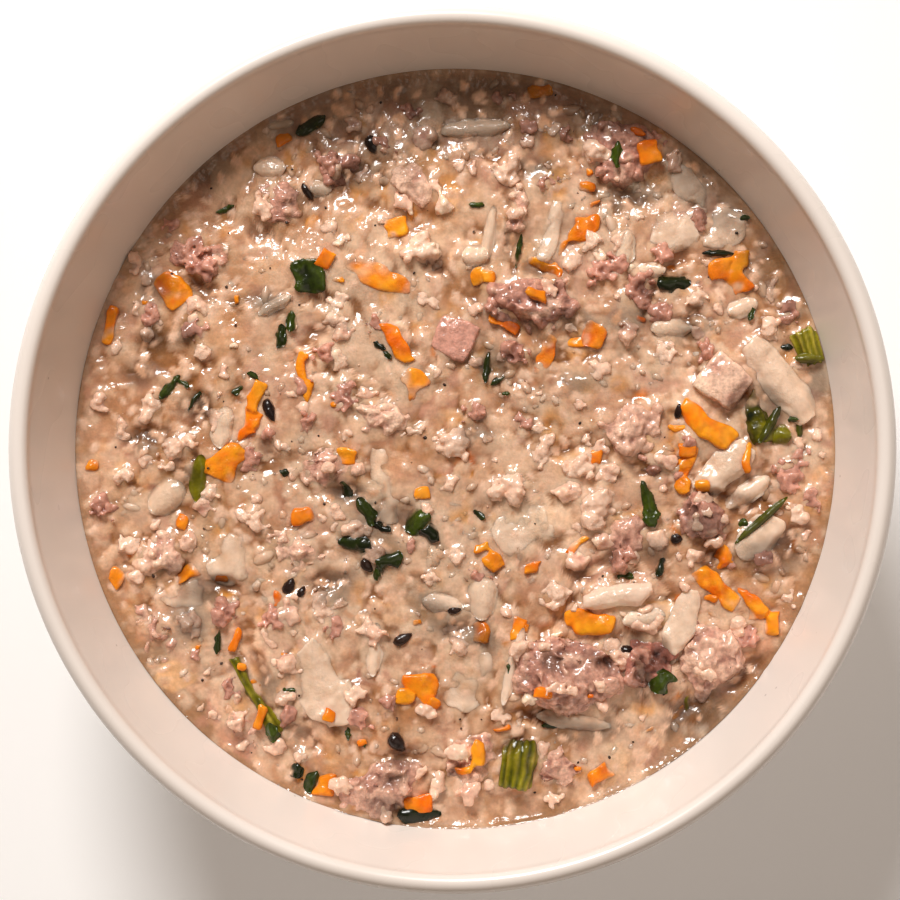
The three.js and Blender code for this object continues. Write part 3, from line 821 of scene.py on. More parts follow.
# The porridge reaches this far into the bowl's wall, so that no air gap shows.
INTO_WALL = 0.4
BASIN_LEVELS = (38, 28, 18, 10)
BASIN_FLOOR = 9.5
TOP_POINTS = 296


def map_flat(mesh, vertices, reach):
    """Lays the mesh flat, as seen from above, as a UV map named OFBake."""
    layer = mesh.uv_layers.new(name="OFBake")
    corner = np.empty(len(mesh.loops), dtype=np.int32)
    mesh.loops.foreach_get("vertex_index", corner)
    flat = vertices[corner, :2] / (2 * reach) + 0.5
    layer.data.foreach_set("uv", flat.ravel())


def build_porridge():
    """The surface as one mesh, closed under it along the bowl's inner wall."""
    reach = FOOD_RADIUS + 0.7
    x, y = disc_points(TOP_POINTS)
    x, y = x * reach, y * reach
    distance = np.hypot(x, y)
    height = SURFACE.at(x, y) + 0.7 * np.exp(-np.maximum(FOOD_RADIUS - distance, 0) / 0.9)
    colour = SURFACE.at(x, y, SURFACE.colour).reshape(-1, 3)
    top = np.stack([x, y, height], axis=2).reshape(-1, 3)
    index = np.arange(TOP_POINTS * TOP_POINTS).reshape(TOP_POINTS, TOP_POINTS)
    rim = grid_rim(index)
    sides = range(len(rim))
    shells = [top]
    faces = grid_faces(index).tolist()
    above = rim
    for z in BASIN_LEVELS:
        ring = top[rim].copy()
        ring[:, :2] *= (wall_radius(z) + INTO_WALL) / reach
        ring[:, 2] = z
        below = np.arange(len(rim)) + sum(len(shell) for shell in shells)
        shells.append(ring)
        faces += [(above[i], above[i - 1], below[i - 1], below[i]) for i in sides]
        above = below
    vertices = np.concatenate([*shells, [(0, 0, BASIN_FLOOR)]])
    faces += [(above[i], above[i - 1], len(vertices) - 1) for i in sides]
    mesh = mesh_of("porridge", vertices, [tuple(int(i) for i in face) for face in faces])
    colours = np.ones((len(vertices), 3)) * CREAM
    colours[: len(colour)] = colour
    tint(mesh, colours)
    map_flat(mesh, vertices, reach)
    piece("porridge", mesh, SAUCE, ["rice_porridge"])


# ---- Forms -----------------------------------------------------------------------------------

def ball(detail):
    """A unit ball of triangles."""
    form = bmesh.new()
    bmesh.ops.create_icosphere(form, subdivisions=detail, radius=1)
    return arrays_of(form)


def slab(columns, rows):
    """A flat closed slab from -1 to 1 along x and y, and from -0.5 to 0.5 along z."""
    u, v = np.meshgrid(np.linspace(-1, 1, columns), np.linspace(-1, 1, rows), indexing="ij")
    top = np.stack([u, v, np.full_like(u, 0.5)], axis=2).reshape(-1, 3)
    bottom = top * [1, 1, -1]
    index = np.arange(columns * rows).reshape(columns, rows)
    quads = grid_faces(index)
    rim = grid_rim(index)
    shift = columns * rows
    sides = [(rim[i], rim[i - 1], rim[i - 1] + shift, rim[i] + shift) for i in range(len(rim))]
    faces = np.concatenate([quads, quads[:, ::-1] + shift, np.array(sides)])
    return np.concatenate([top, bottom]), faces


def about_z(angle):
    c, s = math.cos(angle), math.sin(angle)
    return np.array([[c, -s, 0], [s, c, 0], [0, 0, 1]])


def spun(turn):
    """A turn about +Z in degrees."""
    return about_z(math.radians(turn))


def leaning(lean, towards):
    """A tilt by lean towards an angle in the plane."""
    axis = np.array([-math.sin(towards), math.cos(towards), 0])
    cross = np.array([[0, 0, axis[1]], [0, 0, -axis[0]], [-axis[1], axis[0], 0]])
    return np.eye(3) + math.sin(lean) * cross + (1 - math.cos(lean)) * cross @ cross


def rotation(random):
    """A random tilt and turn, as a matrix whose columns are the new axes."""
    turn = random.uniform(-math.pi, math.pi)
    lean = random.uniform(0, math.pi)
    roll = random.uniform(-math.pi, math.pi)
    return about_z(turn) @ leaning(lean, roll)


def hull(points):
    """The convex hull of points, as triangles."""
    form = bmesh.new()
    for point in points:
        form.verts.new(point)
    result = bmesh.ops.convex_hull(form, input=form.verts)
    loose = set(result["geom_interior"]) | set(result["geom_unused"])
    loose = [part for part in loose if isinstance(part, bmesh.types.BMVert)]
    bmesh.ops.delete(form, geom=loose, context="VERTS")
    bmesh.ops.triangulate(form, faces=form.faces)
    form.verts.index_update()
    return arrays_of(form)


GRANULE_CORNERS = 11
GRANULE_FORMS = 24


def angular_form(random):
    """A lump with flat sides, the hull of some points of a ball."""
    directions = random.normal(size=(GRANULE_CORNERS, 3))
    return hull(directions / np.linalg.norm(directions, axis=1)[:, None])


GRANULES = [angular_form(np.random.default_rng(seed)) for seed in range(GRANULE_FORMS)]


def granule(centre, radius, random):
    """One angular crumb of minced meat."""
    vertices, faces = GRANULES[random.integers(len(GRANULES))]
    size = radius * random.uniform(0.75, 1.4, 3)
    return (vertices * size) @ rotation(random).T + centre, faces


SMALL_BALL = ball(1)


def crumb(length, width, random):
    """A small knobbly crumb with blunt corners."""
    vertices, faces = SMALL_BALL
    points = vertices / (np.abs(vertices) ** 3).sum(axis=1, keepdims=True) ** (1 / 3)
    points = points * [length / 2, width / 2, width * 0.42]
    bumps = noise(points + random.uniform(0, 500), width * 0.6)
    return points * (1 + 0.28 * bumps[:, None]), faces


# ---- The bites -------------------------------------------------------------------------------

def shell_of(node):
    """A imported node's own vertices and faces."""
    mesh = frame["nodes"][node].data
    return positions(mesh), [tuple(face.vertices) for face in mesh.polygons]


def points_on(shell, count, random):
    """Random points on a shell, with the outward normal at each, and the shell's area."""
    vertices, faces = shell
    corners = vertices[np.array([face[:3] for face in faces])]
    cross = np.cross(corners[:, 1] - corners[:, 0], corners[:, 2] - corners[:, 0])
    area = np.linalg.norm(cross, axis=1)
    picked = random.choice(len(area), count, p=area / area.sum())
    u, v = random.random((2, count))
    over = u + v > 1
    u, v = np.where(over, 1 - u, u), np.where(over, 1 - v, v)
    chosen = corners[picked]
    along = chosen[:, 1] - chosen[:, 0]
    across = chosen[:, 2] - chosen[:, 0]
    points = chosen[:, 0] + along * u[:, None] + across * v[:, None]
    return points, cross[picked] / area[picked, None], area.sum() / 2


def granulated(shell, sizes, random, cover):
    """A shell's surface crowded with granules, down to a little under the porridge."""
    _, _, area = points_on(shell, 1, random)
    count = int(cover * area / (math.pi * np.mean(sizes) ** 2))
    points, outward, _ = points_on(shell, count, random)
    shells = [shell]
    for point, normal in zip(points, outward):
        radius = random.uniform(*sizes)
        if point[2] > base_level(point[0], point[1]) - 2:
            shells.append(granule(point - normal * radius * random.uniform(0.1, 0.7), radius, random))
    return shells


def smeared(mesh, colours, rise=0.9):
    """A piece's colours, with painted shade in the gaps, toned by place, and like the porridge's where it
    comes out of it.

    It also sinks the piece where a gap crosses it.
    """
    vertices = positions(mesh)
    gaps = patches(GAPS, vertices[:, 0], vertices[:, 1])
    vertices[:, 2] -= GAP_DEPTH * gaps
    place(mesh, vertices)
    # Painted shade: the piece is darkened where a gap crosses it.
    colours = mix(colours, colours * [0.4, 0.36, 0.34], gaps)
    over = vertices[:, 2] - SURFACE.at(vertices[:, 0], vertices[:, 1])
    over = over + 0.5 * noise(vertices, 2.2, 31)
    sauce = SURFACE.at(vertices[:, 0], vertices[:, 1], SURFACE.colour)
    colours = toned(colours, PIECE_TONE, vertices[:, 0], vertices[:, 1])
    return mix(sauce, colours, smooth_step(-0.1, rise, over))


def colour_by(mesh, colours, size, seed, dark=None):
    """Noise between two colours; with a third, painted shade in the hollows and painted light on the
    crests.
    """
    vertices = positions(mesh)
    spots = 0.5 + 0.6 * noise(vertices, size, seed) + 0.35 * noise(vertices, size / 3.3, seed + 1)
    mixed = mix(colours[0], colours[1], np.clip(spots, 0, 1))
    if dark is not None:
        # Painted shade in the hollows, and the second colour a little brighter as painted light on the
        # crests, at two sizes.
        for rounds, depth in ((4, 0.22), (16, 0.5)):
            under = hollows(mesh, rounds)
            mixed = mix(mixed, dark, 0.7 * smooth_step(0, depth, under))
            mixed = mix(mixed, colours[1] * 1.06, 0.6 * smooth_step(0, depth, -under))
    return mixed


def warp(mesh, size, reach, seed):
    """Bends outlines by moving the mesh sideways unevenly."""
    vertices = positions(mesh)
    flat = vertices * [1, 1, 0.4]
    vertices[:, 0] += reach * noise(flat, size, seed)
    vertices[:, 1] += reach * noise(flat, size, seed + 1)
    place(mesh, vertices)


def press(mesh, share, seed):
    """Flattens what stands over the porridge to a share of its height, unevenly."""
    vertices = positions(mesh)
    over = vertices[:, 2] - SURFACE.at(vertices[:, 0], vertices[:, 1])
    uneven = smooth_step(0.0, 0.8, noise(vertices * [1, 1, 0], 3.4, seed))
    vertices[:, 2] -= np.maximum(over, 0) * (1 - share) + 0.7 * (1 - share) * uneven * (over > 0)
    place(mesh, vertices)


def finish_bite(node, mesh, material, colours):
    """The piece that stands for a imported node."""
    tint(mesh, smeared(mesh, colours))
    piece(node + "_fine", mesh, material, [node])


def build_mince(node, seed, paleness):
    """A clump of minced meat."""
    random = np.random.default_rng(seed)
    shell = shell_of(node)
    fine = granulated(shell, (0.5, 1.4), random, 1.0)
    coarse = granulated(shell, (1.4, 2.3), random, 0.4)
    mesh = remeshed(node, fine + coarse)
    soften(mesh, 1, 0.3)
    warp(mesh, 4.5, 1.3, seed)
    roughen(mesh, 3.6, 0.7, seed)
    roughen(mesh, 1.5, 0.38, seed + 1)
    roughen(mesh, 0.8, 0.2, seed + 2)
    light = MEAT_PINK + (MEAT_CREAM - MEAT_PINK) * paleness
    deep = MEAT_MAUVE + (MEAT_PINK - MEAT_MAUVE) * paleness
    shade = MEAT_HOLLOW_SHADE + (MEAT_MAUVE - MEAT_HOLLOW_SHADE) * paleness
    tones = colour_by(mesh, (deep, light), 3.4, seed, shade)
    flecks = smooth_step(0.25, 0.7, noise(positions(mesh), 1.9, seed + 5))
    finish_bite(node, mesh, MEAT, mix(tones, MEAT_CREAM, 0.55 * flecks))


def build_cube(node, seed, tones):
    """A cut cube of meat, with faint fibres."""
    mesh = remeshed(node, [shell_of(node)])
    soften(mesh, 1, 0.3)
    roughen(mesh, 4.0, 0.25, seed)
    roughen(mesh, 1.6, 0.2, seed + 1, (1, 2.5, 1))
    roughen(mesh, 0.9, 0.14, seed + 2)
    # Painted shade in the hollows: the mauve at 0.6.
    finish_bite(node, mesh, MEAT, colour_by(mesh, tones, 3, seed, MEAT_MAUVE * 0.6))


def build_smooth(node, seed, material, colours, softness, share, dark=None, uneven=1.0):
    """A soft piece, pressed into the porridge to a share of its height."""
    mesh = remeshed(node, [shell_of(node)])
    soften(mesh, softness)
    warp(mesh, 3.4, 1.2 * uneven, seed)
    roughen(mesh, 3.0, 0.4 * uneven, seed)
    roughen(mesh, 1.3, 0.22 * uneven, seed + 1)
    press(mesh, share, seed)
    finish_bite(node, mesh, material, colour_by(mesh, colours, 3, seed, dark))


def build_ribbed(node, seed):
    """Celery, with ribs along its length."""
    shell = shell_of(node)
    mesh = remeshed(node, [shell])
    soften(mesh, 1)
    flat = shell[0][:, :2] - shell[0][:, :2].mean(axis=0)
    across = np.linalg.eigh(flat.T @ flat)[1][:, 0]
    warp(mesh, 4, 0.5, seed)
    vertices = positions(mesh)
    ribs = np.cos(2 * np.pi * (vertices[:, :2] @ across) / 1.3 + 2.4 * noise(vertices, 3.5, seed))
    place(mesh, vertices + normals(mesh) * (0.14 * ribs)[:, None])
    roughen(mesh, 2.4, 0.3, seed + 1)
    streaks = np.clip(0.5 + 0.3 * ribs + 0.5 * noise(vertices, 2.6, seed + 2), 0, 1)
    green = mix(CELERY_DARK, CELERY_GREEN, 2 * np.minimum(streaks, 0.5))
    tones = mix(green, CELERY_PALE, np.maximum(streaks * 2 - 1.2, 0))
    finish_bite(node, mesh, CELERY, tones)


# How pale each clump of meat is, from mauve (0) to cream (1).
PALENESS = {
    1: 0, 2: 0.1, 3: -0.1, 4: 0.95, 5: 1.15, 6: 0, 7: 0.05, 10: 0.7, 11: 1.25, 12: 0.85, 13: 1.1, 14: 1.15,
    15: 0.2, 16: 0, 17: 0.35, 18: 0.3, 19: -0.4, 20: 0.85, 21: 1.1, 22: 0.5, 23: 0.9, 24: 0.55,
}


def build_bites():
    for seed, node in enumerate(sorted(frame["nodes"]), 100):
        kind = node.split("_")[0]
        number = int(node[-2:]) if kind == "chicken" else 0
        if number in PALENESS:
            build_mince(node, seed, PALENESS[number])
        elif node == "chicken_08":
            build_cube(node, seed, (MEAT_PINK, MEAT_CREAM))
        elif kind == "chicken":
            build_cube(node, seed, (PINK_LUMP, linear(218, 160, 142)))
        elif kind == "carrot":
            build_smooth(node, seed, CARROT, (CARROT_DEEP, CARROT_LIGHT), 2, 0.6)
        # The cabbage's hollows get CRUMB_SHADE as painted shade.
        elif node == "cabbage_03":
            build_smooth(node, seed, CABBAGE, (ONION, WHITE_MEAT), 1, 0.8, CRUMB_SHADE, 0.5)
        elif kind == "cabbage":
            build_smooth(node, seed, CABBAGE, (ONION_CLEAR, ONION), 1, 0.6, CRUMB_SHADE, 0.6)
        elif node == "celery_02":
            build_smooth(node, seed, LEAF, (LEAF_DARK, CELERY_GREEN), 1, 0.9)
        elif kind == "celery":
            build_ribbed(node, seed)
        elif kind == "greens":
            build_smooth(node, seed, LEAF, (LEAF_DARK, LEAF_GREEN), 1, 0.9)


build_bites()


# ---- Loose pieces ----------------------------------------------------------------------------

# Each row: x, y, length, width, turn in degrees.
PALE_CRUMBS = [
    (9.7, 51, 6, 6, 0), (-5, 37, 10, 7, 20), (-56, 8, 9, 5, 80), (-51, 0, 11, 6, 45),
    (-7, 3.5, 4, 2.7, 0), (-60.5, -17.7, 5, 5, 0), (-0.7, -6.7, 5.5, 4, 75), (10, -7.5, 8, 7, 20),
    (16.5, 0, 9, 5, 60), (23, -3.5, 8, 6, 0), (24.5, 2, 4, 3.2, 0), (0.5, -20.5, 4.5, 4, 0),
    (-4, -23.7, 6, 3.5, 0), (19, -27, 7, 6, 40), (39.5, 17.5, 7, 5, 10), (58.5, 22, 8, 5, 20),
    (43.7, -19.5, 5.5, 5, 80), (63, -12, 5, 5, 0), (-21.5, 27.5, 5, 4, 0), (-22, 24, 7, 4, 10),
    (-25, -28, 6, 4, 80), (-18, -45, 5, 4, 60), (-3, -62, 7, 4, 80), (8.5, -49, 4, 4, 0),
    (61.5, -27.5, 5, 4, 60), (18.7, -64.5, 6, 3.5, 10), (-28.5, -57, 4, 3, 0), (0, 0.5, 9, 7, 0),
    (26, -11, 8, 7, 60), (-24, -12.5, 3, 2.4, 20), (-22, -14, 3.4, 2.2, 60), (-16, -15, 3, 2.6, 60),
    (-4.5, -11, 4, 5, 60), (-35, 45, 6, 5, 100), (-4, 34, 6, 4, 20), (-6, 28, 4, 3, 80),
    (-3.5, 27, 4, 3, 0), (26, 54, 7, 7, 0), (25, 38, 5, 5, 0), (45, 28, 7, 4, 20), (-46, 18, 5, 4, 0),
    (-61, -5, 4, 4, 0), (-37, -13, 8, 5, 160), (-45, -8, 5, 4, 150), (-57, -2.5, 4, 4, 0),
    (-31, -45.5, 4, 4, 0), (-24, -30, 5, 4, 80), (-5, -48, 4, 4, 0), (1, -56, 6, 5, 20),
    (-21, -62, 5, 4, 150), (-21, -28.5, 4, 3, 30), (46, -9, 5, 3, 0), (63, 15, 4, 3, 150),
    (29, -36, 6, 4, 30), (17, -36, 3, 3, 0), (14, -46, 4, 3, 30), (27, -43, 4, 3, 0), (22, -44, 3, 3, 0),
    (52, -33, 6, 5, 110), (46, -41, 6, 3, 150), (36, -30, 5, 3, 0), (7, -62, 4, 3, 0),
]
PINK_CRUMBS = [
    (-42, -29, 7, 5, 0), (-56.5, 25, 6, 5, 40), (-64.8, -11, 7, 6, 0), (-30.5, -49, 8, 6, 80),
    (-8, -17.5, 5, 3.5, 0), (-20, 10, 8, 6, 80), (3.5, 7, 6, 5, 80), (61, -5, 9, 7, 80),
    (63.5, -1.5, 5, 5, 0), (65.2, -8.5, 4, 4, 0), (62, 25, 7, 5, 20), (9, 65, 8, 3, 10),
    (14, 59, 5, 5, 0), (20, 58, 5, 5, 0), (-34.5, 2.5, 4, 4, 0), (11, 18, 7, 6, 0), (34, 30, 8, 8, 0),
    (29, 35, 7, 7, 0), (38, 25, 6, 5, 0), (54, -34.5, 7, 6, 0), (38, 36, 6, 5, 0), (-14, 23, 6, 5, 0),
    (-27, 5, 6, 5, 0), (-48, 37, 8, 5, 40), (-46, 33, 9, 5, 160), (-52, 42, 6, 4, 50),
    (-23, 53, 6, 5, 150), (-8, 62, 6, 5, 60), (-13, 56, 7, 4, 150), (38, 57, 5, 4, 30), (45, 42, 5, 5, 0),
    (27, 33, 9, 6, 20), (-47, 22, 7, 5, 0), (-37, -2, 7, 5, 80), (-42, -30, 7, 6, 20),
    (-41, -44, 8, 5, 140), (-48, -38, 4, 3, 0), (-33, -31, 9, 5, 20), (-17, -50, 6, 6, 0),
    (-12, -47, 5, 4, 30), (-22, -33, 5, 5, 0), (-24, 18, 6, 5, 0), (13, 5, 5, 4, 80), (5, -24, 8, 4, 160),
    (36, -3, 8, 5, 150), (57, -20, 8, 4, 20), (50, -21, 8, 3, 170), (43, 1.5, 4, 4, 0),
    (66, -10, 5, 4, 0), (46, 18, 6, 5, 0), (31, -20, 8, 5, 20), (23, -22, 7, 4, 170), (-28, 12, 5, 4, 0),
    (17, 49, 6, 4, 20), (7, 26, 5, 3, 100), (41, -5, 4, 3, 60), (35, -38, 6, 5, 20), (33, -42, 5, 5, 0),
]
CARROT_BITS = [
    (-63.5, 23, 7, 2.5, 80), (-10.5, 41, 5, 4, 20), (-23.5, 35, 4, 3, 60), (24.5, 40.5, 6, 5, 80),
    (16, 34, 8, 3, -20), (6.5, 31.5, 3, 3, 0), (9, 23, 6, 1.8, -30), (36, 54.5, 4, 4, 10),
    (33.8, 58, 2.5, 2, 0), (24.5, 48.3, 3, 2, 0), (40.5, 33.5, 5, 2.5, 10), (51.5, 32, 8, 4, -50),
    (-10.5, 19.5, 9, 2.8, -55), (-28, 13.5, 9, 2.5, 85), (-36.5, 10.5, 3.5, 2.5, 60),
    (-37.5, 5, 5, 3.5, 70), (-28, -12.3, 5, 3, 0), (-49, -22.5, 6, 3, 20), (-43, -24, 3, 2, 0),
    (-50.5, -13.5, 3, 2, 80), (-67, -2.7, 3, 2, 70), (-62.5, -24, 4, 3, 60), (26, -1.3, 3.2, 2.8, 0),
    (54.3, -1.5, 5, 1.5, 80), (7, -20.5, 4, 3, -50), (14.5, -22, 3, 2.4, 0), (-6, -8, 3.2, 2.6, 0),
    (22.5, -17.5, 6, 1.8, 40), (49.5, -19, 4, 3, 60), (55, -29, 5, 1.5, 80), (58.8, -32, 5, 3, 85),
    (12, -32.5, 3, 3, 0), (4.8, -34, 4, 4, 0), (-32.5, -28, 4, 2, 80), (-40, -35.5, 4.5, 2, 70),
    (-47.5, -36.5, 1.6, 1.4, 0), (-31.7, -38.5, 1.4, 1.2, 0), (-35.5, -49.5, 5, 1.8, 80),
    (-24, -62, 4, 4, 0), (-6, -65.5, 6, 3.5, 10), (4.5, -56, 5, 3, 80), (9.5, -51.5, 4, 1.5, 10),
    (28, -60, 3, 2, 30), (36.5, -51.8, 4, 1.2, 20), (15.5, 66, 5, 3, 0), (-31.5, 57.5, 3, 2, 30),
    (16.5, -44.5, 4.5, 2.5, 0), (-19.5, -1.5, 4, 3, 0), (15, 28.5, 4, 2.4, -20), (-22.3, 8, 1.8, 1.2, 70),
    (45.7, -7, 3, 2.5, 0), (49, 33, 4, 4, 0), (53, 35, 4, 3, 0), (5, 32, 4, 3, 20), (-21, 31, 3, 1.5, 0),
    (20, 36, 5, 1.5, 60), (25, 51, 2, 1.5, 0), (26, 45, 2.4, 1.5, 40), (23, 20, 4, 4, 0),
    (41, 4, 3, 1.4, 20), (43, 0, 4, 3, 0), (42, -6, 4, 3, 80), (-27, 11, 4, 2.5, 80), (-37, 8, 3, 2, 80),
    (-38, 3, 4, 2.5, 20), (-39, -40, 2, 1.4, 0), (-37, -43, 2.4, 1.4, -45), (-31, -38, 2, 1.5, 0),
    (-9, -46, 4, 3, 0), (-4, -47, 3, 3, 0), (-23, -49, 2.4, 1.5, 80), (-17, -54, 1.6, 1.4, 0),
    (2, -59, 4, 1.6, 5), (27, -60, 5, 3, 40), (23, -59, 1.6, 1.2, 0), (41, -49, 4, 1.6, 30),
    (25, -45, 1.6, 1.2, 0), (55, -28, 6, 3, -45), (50, -21, 3, 2, 0), (47, -27, 4, 2, 0),
    (47, -30, 2, 1.4, 0), (53, -26, 3, 1.2, -20), (20, -20, 3, 1.3, 60), (5, -18, 3, 2, 0),
    (11, -34, 2, 2, 0), (13, -33, 2, 1.5, 0), (-7, -32, 2, 1.5, 0), (25, -2, 3, 1.6, 0),
    (-57, 27, 2, 1.2, 0), (-40, 28, 2, 1.3, 80), (34, 24, 2, 1.4, 0),
]
ONION_FLAKES = [
    (35, -31, 8, 4, 10), (54, -8, 10, 4, 35), (36, 33, 6, 3.5, 0), (31.5, 37, 7, 4, 80),
    (53, 26, 6, 4, 20), (6.5, 39, 12, 2.5, 80), (4, 59, 13, 4, 5), (-34, 52, 6, 5, 0),
    (-24.5, 48, 4, 4, 0), (-33, 26.5, 7, 2.5, 30), (-42.5, 4, 8, 5, 80), (-53, -9, 8, 6, 40),
    (5.5, -27.5, 8, 6, 80), (-14.5, -37, 10, 3, 85), (11, -40, 15, 2.5, 75), (-2, -28.5, 8, 4, -10),
    (-32, 60, 5, 2, 10), (4, 35.5, 5, 4, 0), (40, 22.3, 8, 4, 0), (22, -50, 14, 3.5, -8),
]
CELERY_BITS = [
    (58, 4.5, 8, 1.8, 60), (60, 2.5, 4, 4, 0), (63.5, 3.5, 3.5, 1.5, 85), (65, 16.7, 5, 2, 0),
    (-47, -5.5, 9, 3.6, 85), (56.5, -13, 13, 1.5, 42), (43, -47.5, 5, 1.5, 80),
]
HERB_BITS = [
    (-26.5, 59.8, 6, 3, 30), (40.5, 30.5, 6.5, 4, 0), (48.5, 36, 6, 1.2, 0), (-6.5, -67.5, 8, 4, 0),
    (-18.7, -8.6, 7, 3.4, -50), (-16.2, -11.6, 6, 3, -60), (-13.5, -14.3, 4, 2, -20),
    (-18, -17.5, 6.5, 3.4, -5), (-12, -20.5, 5, 5, 0), (-14, -23, 3, 1.6, 80),
    (-6.5, -13.5, 5.5, 4.4, 40), (-4.5, -15.5, 4, 3.2, -30), (4.7, -12, 2.4, 1.2, -35),
    (6.2, 14.8, 6, 1.6, 85), (8, 12.5, 3, 1.2, 30), (10, 10.3, 1.6, 0.8, 0), (-13.5, 19, 2.8, 1.4, -30),
    (-12, 17.2, 1.6, 1, -40), (-32, 21, 4.5, 2, 80), (-30, 23.5, 4, 2, 85), (-40, 11, 2.5, 1.5, 30),
    (-37, 13.5, 2, 1.2, -30), (-52.5, 11.5, 6, 1.8, 50), (-48, 9, 4, 1.2, 60), (-50, 12.2, 3, 1.2, -30),
    (-31.3, -4.3, 2, 1.4, 0), (-42, 44.5, 3.5, 1.2, 20), (30, 54, 5, 1.6, 85), (12, 36.5, 7, 1, 80),
    (4.5, 45, 3, 1.2, 0), (54.7, 25, 2.5, 1.2, 80), (53.3, -13.5, 2.4, 1.6, 0), (38, -21.5, 3.5, 1.8, 75),
    (31.8, -23.5, 2.6, 2.2, 0), (27.5, -9.5, 3, 1, 0), (62.3, 5.5, 2, 1, 0), (61.5, 18.8, 2.5, 1.6, 0),
    (38.5, -42.5, 5, 4, 60), (-43.5, -35.5, 4.5, 1.2, 85), (-30.5, -44.5, 2, 1.2, 0),
    (-19.3, -51.5, 5, 1.2, 85), (-17, -54.3, 2, 1.4, 0), (-29, -59.5, 3, 2.5, 80),
    (-26, -61.5, 4, 2.5, 70), (18, -51, 4, 1.2, 0), (10.3, -39, 5, 0.9, 85), (53.5, 42.5, 2, 1.2, 0),
    (-33.5, -52.3, 4, 2.4, -80),
]
SEEDS = [
    (-15, 56, 4, 2.5, -60), (-27, 47.5, 4, 1.6, -60), (-34, 7.2, 4.5, 2.2, -70),
    (-30.3, -25.3, 3.4, 2.1, 60), (-28, -26.3, 2.4, 1.4, 60), (-9.3, -35, 4, 2, 30),
    (-10.5, -54.2, 4.2, 3, -50), (0.2, -29.7, 2.6, 1.4, 10), (41.3, 7, 3, 1.3, 80),
    (32, -36.8, 2.6, 1.6, 0), (41, -16.5, 2.4, 2, 0), (-16, -21.5, 3, 2, -50),
]

def note_tops(thing, tops):
    """Marks in a raster how high a piece stands."""
    vertices = positions(thing.data)
    column = np.round((vertices[:, 0] + HALF) / CELL).astype(int)
    row = np.round((vertices[:, 1] + HALF) / CELL).astype(int)
    for shift_x in (-1, 0, 1):
        for shift_y in (-1, 0, 1):
            np.maximum.at(tops, (column + shift_x, row + shift_y), vertices[:, 2])


def tops_of(*endings):
    """The surface's heights, or the tops of pieces with such names where they stand higher."""
    tops = SURFACE.height.copy()
    for thing in bpy.context.scene.objects:
        if thing.name.endswith(endings):
            note_tops(thing, tops)
    return tops


BITE_TOPS = tops_of("_fine")
CLEAN_KINDS = ("carrot", "celery", "greens", "cabbage")
CLEAN_CUBES = ("chicken_08", "chicken_09")


def top_at(x, y):
    return SURFACE.at(x, y, BITE_TOPS)


def busy_places():
    """1 on the pieces on which nothing is strewn."""
    busy = np.zeros(GRID_X.shape)
    for name in sorted(frame["nodes"]):
        if name.split("_")[0] in CLEAN_KINDS or name in CLEAN_CUBES:
            low, high = (np.array(corner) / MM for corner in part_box(name))
            middle, half = (low + high) / 2, (high - low) / 2
            busy[np.hypot((GRID_X - middle[0]) / half[0], (GRID_Y - middle[1]) / half[1]) < 1] = 1
    for x, y, length, width, turn in CARROT_BITS + HERB_BITS + SEEDS + CELERY_BITS + PALE_CRUMBS:
        u, v = turned(GRID_X - x, GRID_Y - y, turn)
        busy[np.hypot(u / (length / 2 + 0.5), v / (width / 2 + 0.5)) < 1] = 1
    return busy


BUSY = busy_places()


def uncovered(x, y):
    """The points that lie on no busy piece."""
    free = SURFACE.at(x, y, BUSY) < 0.5
    return x[free], y[free]


def build_clumps(name, rows, colours, dark, seed, voxel=CRUMB_VOXEL, angular=False):
    """Knobbly clumps of chicken, each a heap of round or angular lobes with small knobs on them."""
    random = np.random.default_rng(seed)
    shells = []
    for x, y, length, width, turn in rows:
        small = min(length, width)
        ground = float(top_at(x, y))
        lobes = 3 + int(1.8 * max(length, width) / small)
        for number in range(lobes + 6 + int(length * width / 5)):
            knob = number >= lobes
            reach = random.uniform(0.1, 0.44) if knob else random.uniform(0.02, 0.27)
            radius = small * (random.uniform(0.07, 0.14) if knob else random.uniform(0.2, 0.32))
            radius = max(radius, 0.3)
            angle = random.uniform(0, 2 * math.pi)
            along = spun(turn) @ [length * reach * math.cos(angle), width * reach * math.sin(angle), 0]
            rise = small * random.uniform(-0.05, 0.22 if knob else 0.14)
            if angular:
                points, faces = granule((0, 0, 0), radius, random)
            else:
                points, faces = crumb(2.3 * radius, 2 * radius, random)
            points = points @ rotation(random).T + along + [x, y, ground + rise]
            points[:, 2] = np.maximum(points[:, 2], ground - 0.7)
            shells.append((points, faces))
    mesh = remeshed(name, shells, voxel)
    soften(mesh, 1, 0.25)
    roughen(mesh, 1.8, 0.34, seed, (1, 2, 1) if angular else (1, 1, 1))
    roughen(mesh, 0.8, 0.24, seed + 1)
    tint(mesh, smeared(mesh, colour_by(mesh, colours, 2.5, seed, dark), 0.6))
    piece(name, mesh, CRUMB)


def random_rows(count, lengths, seed):
    """Places for small crumbs all over the food."""
    random = np.random.default_rng(seed)
    rows = []
    for x, y in zip(*uncovered(*scatter_points(count, random, 0.4))):
        length = random.uniform(*lengths)
        rows.append((x, y, length, length * random.uniform(0.5, 0.9), random.uniform(0, 180)))
    return rows


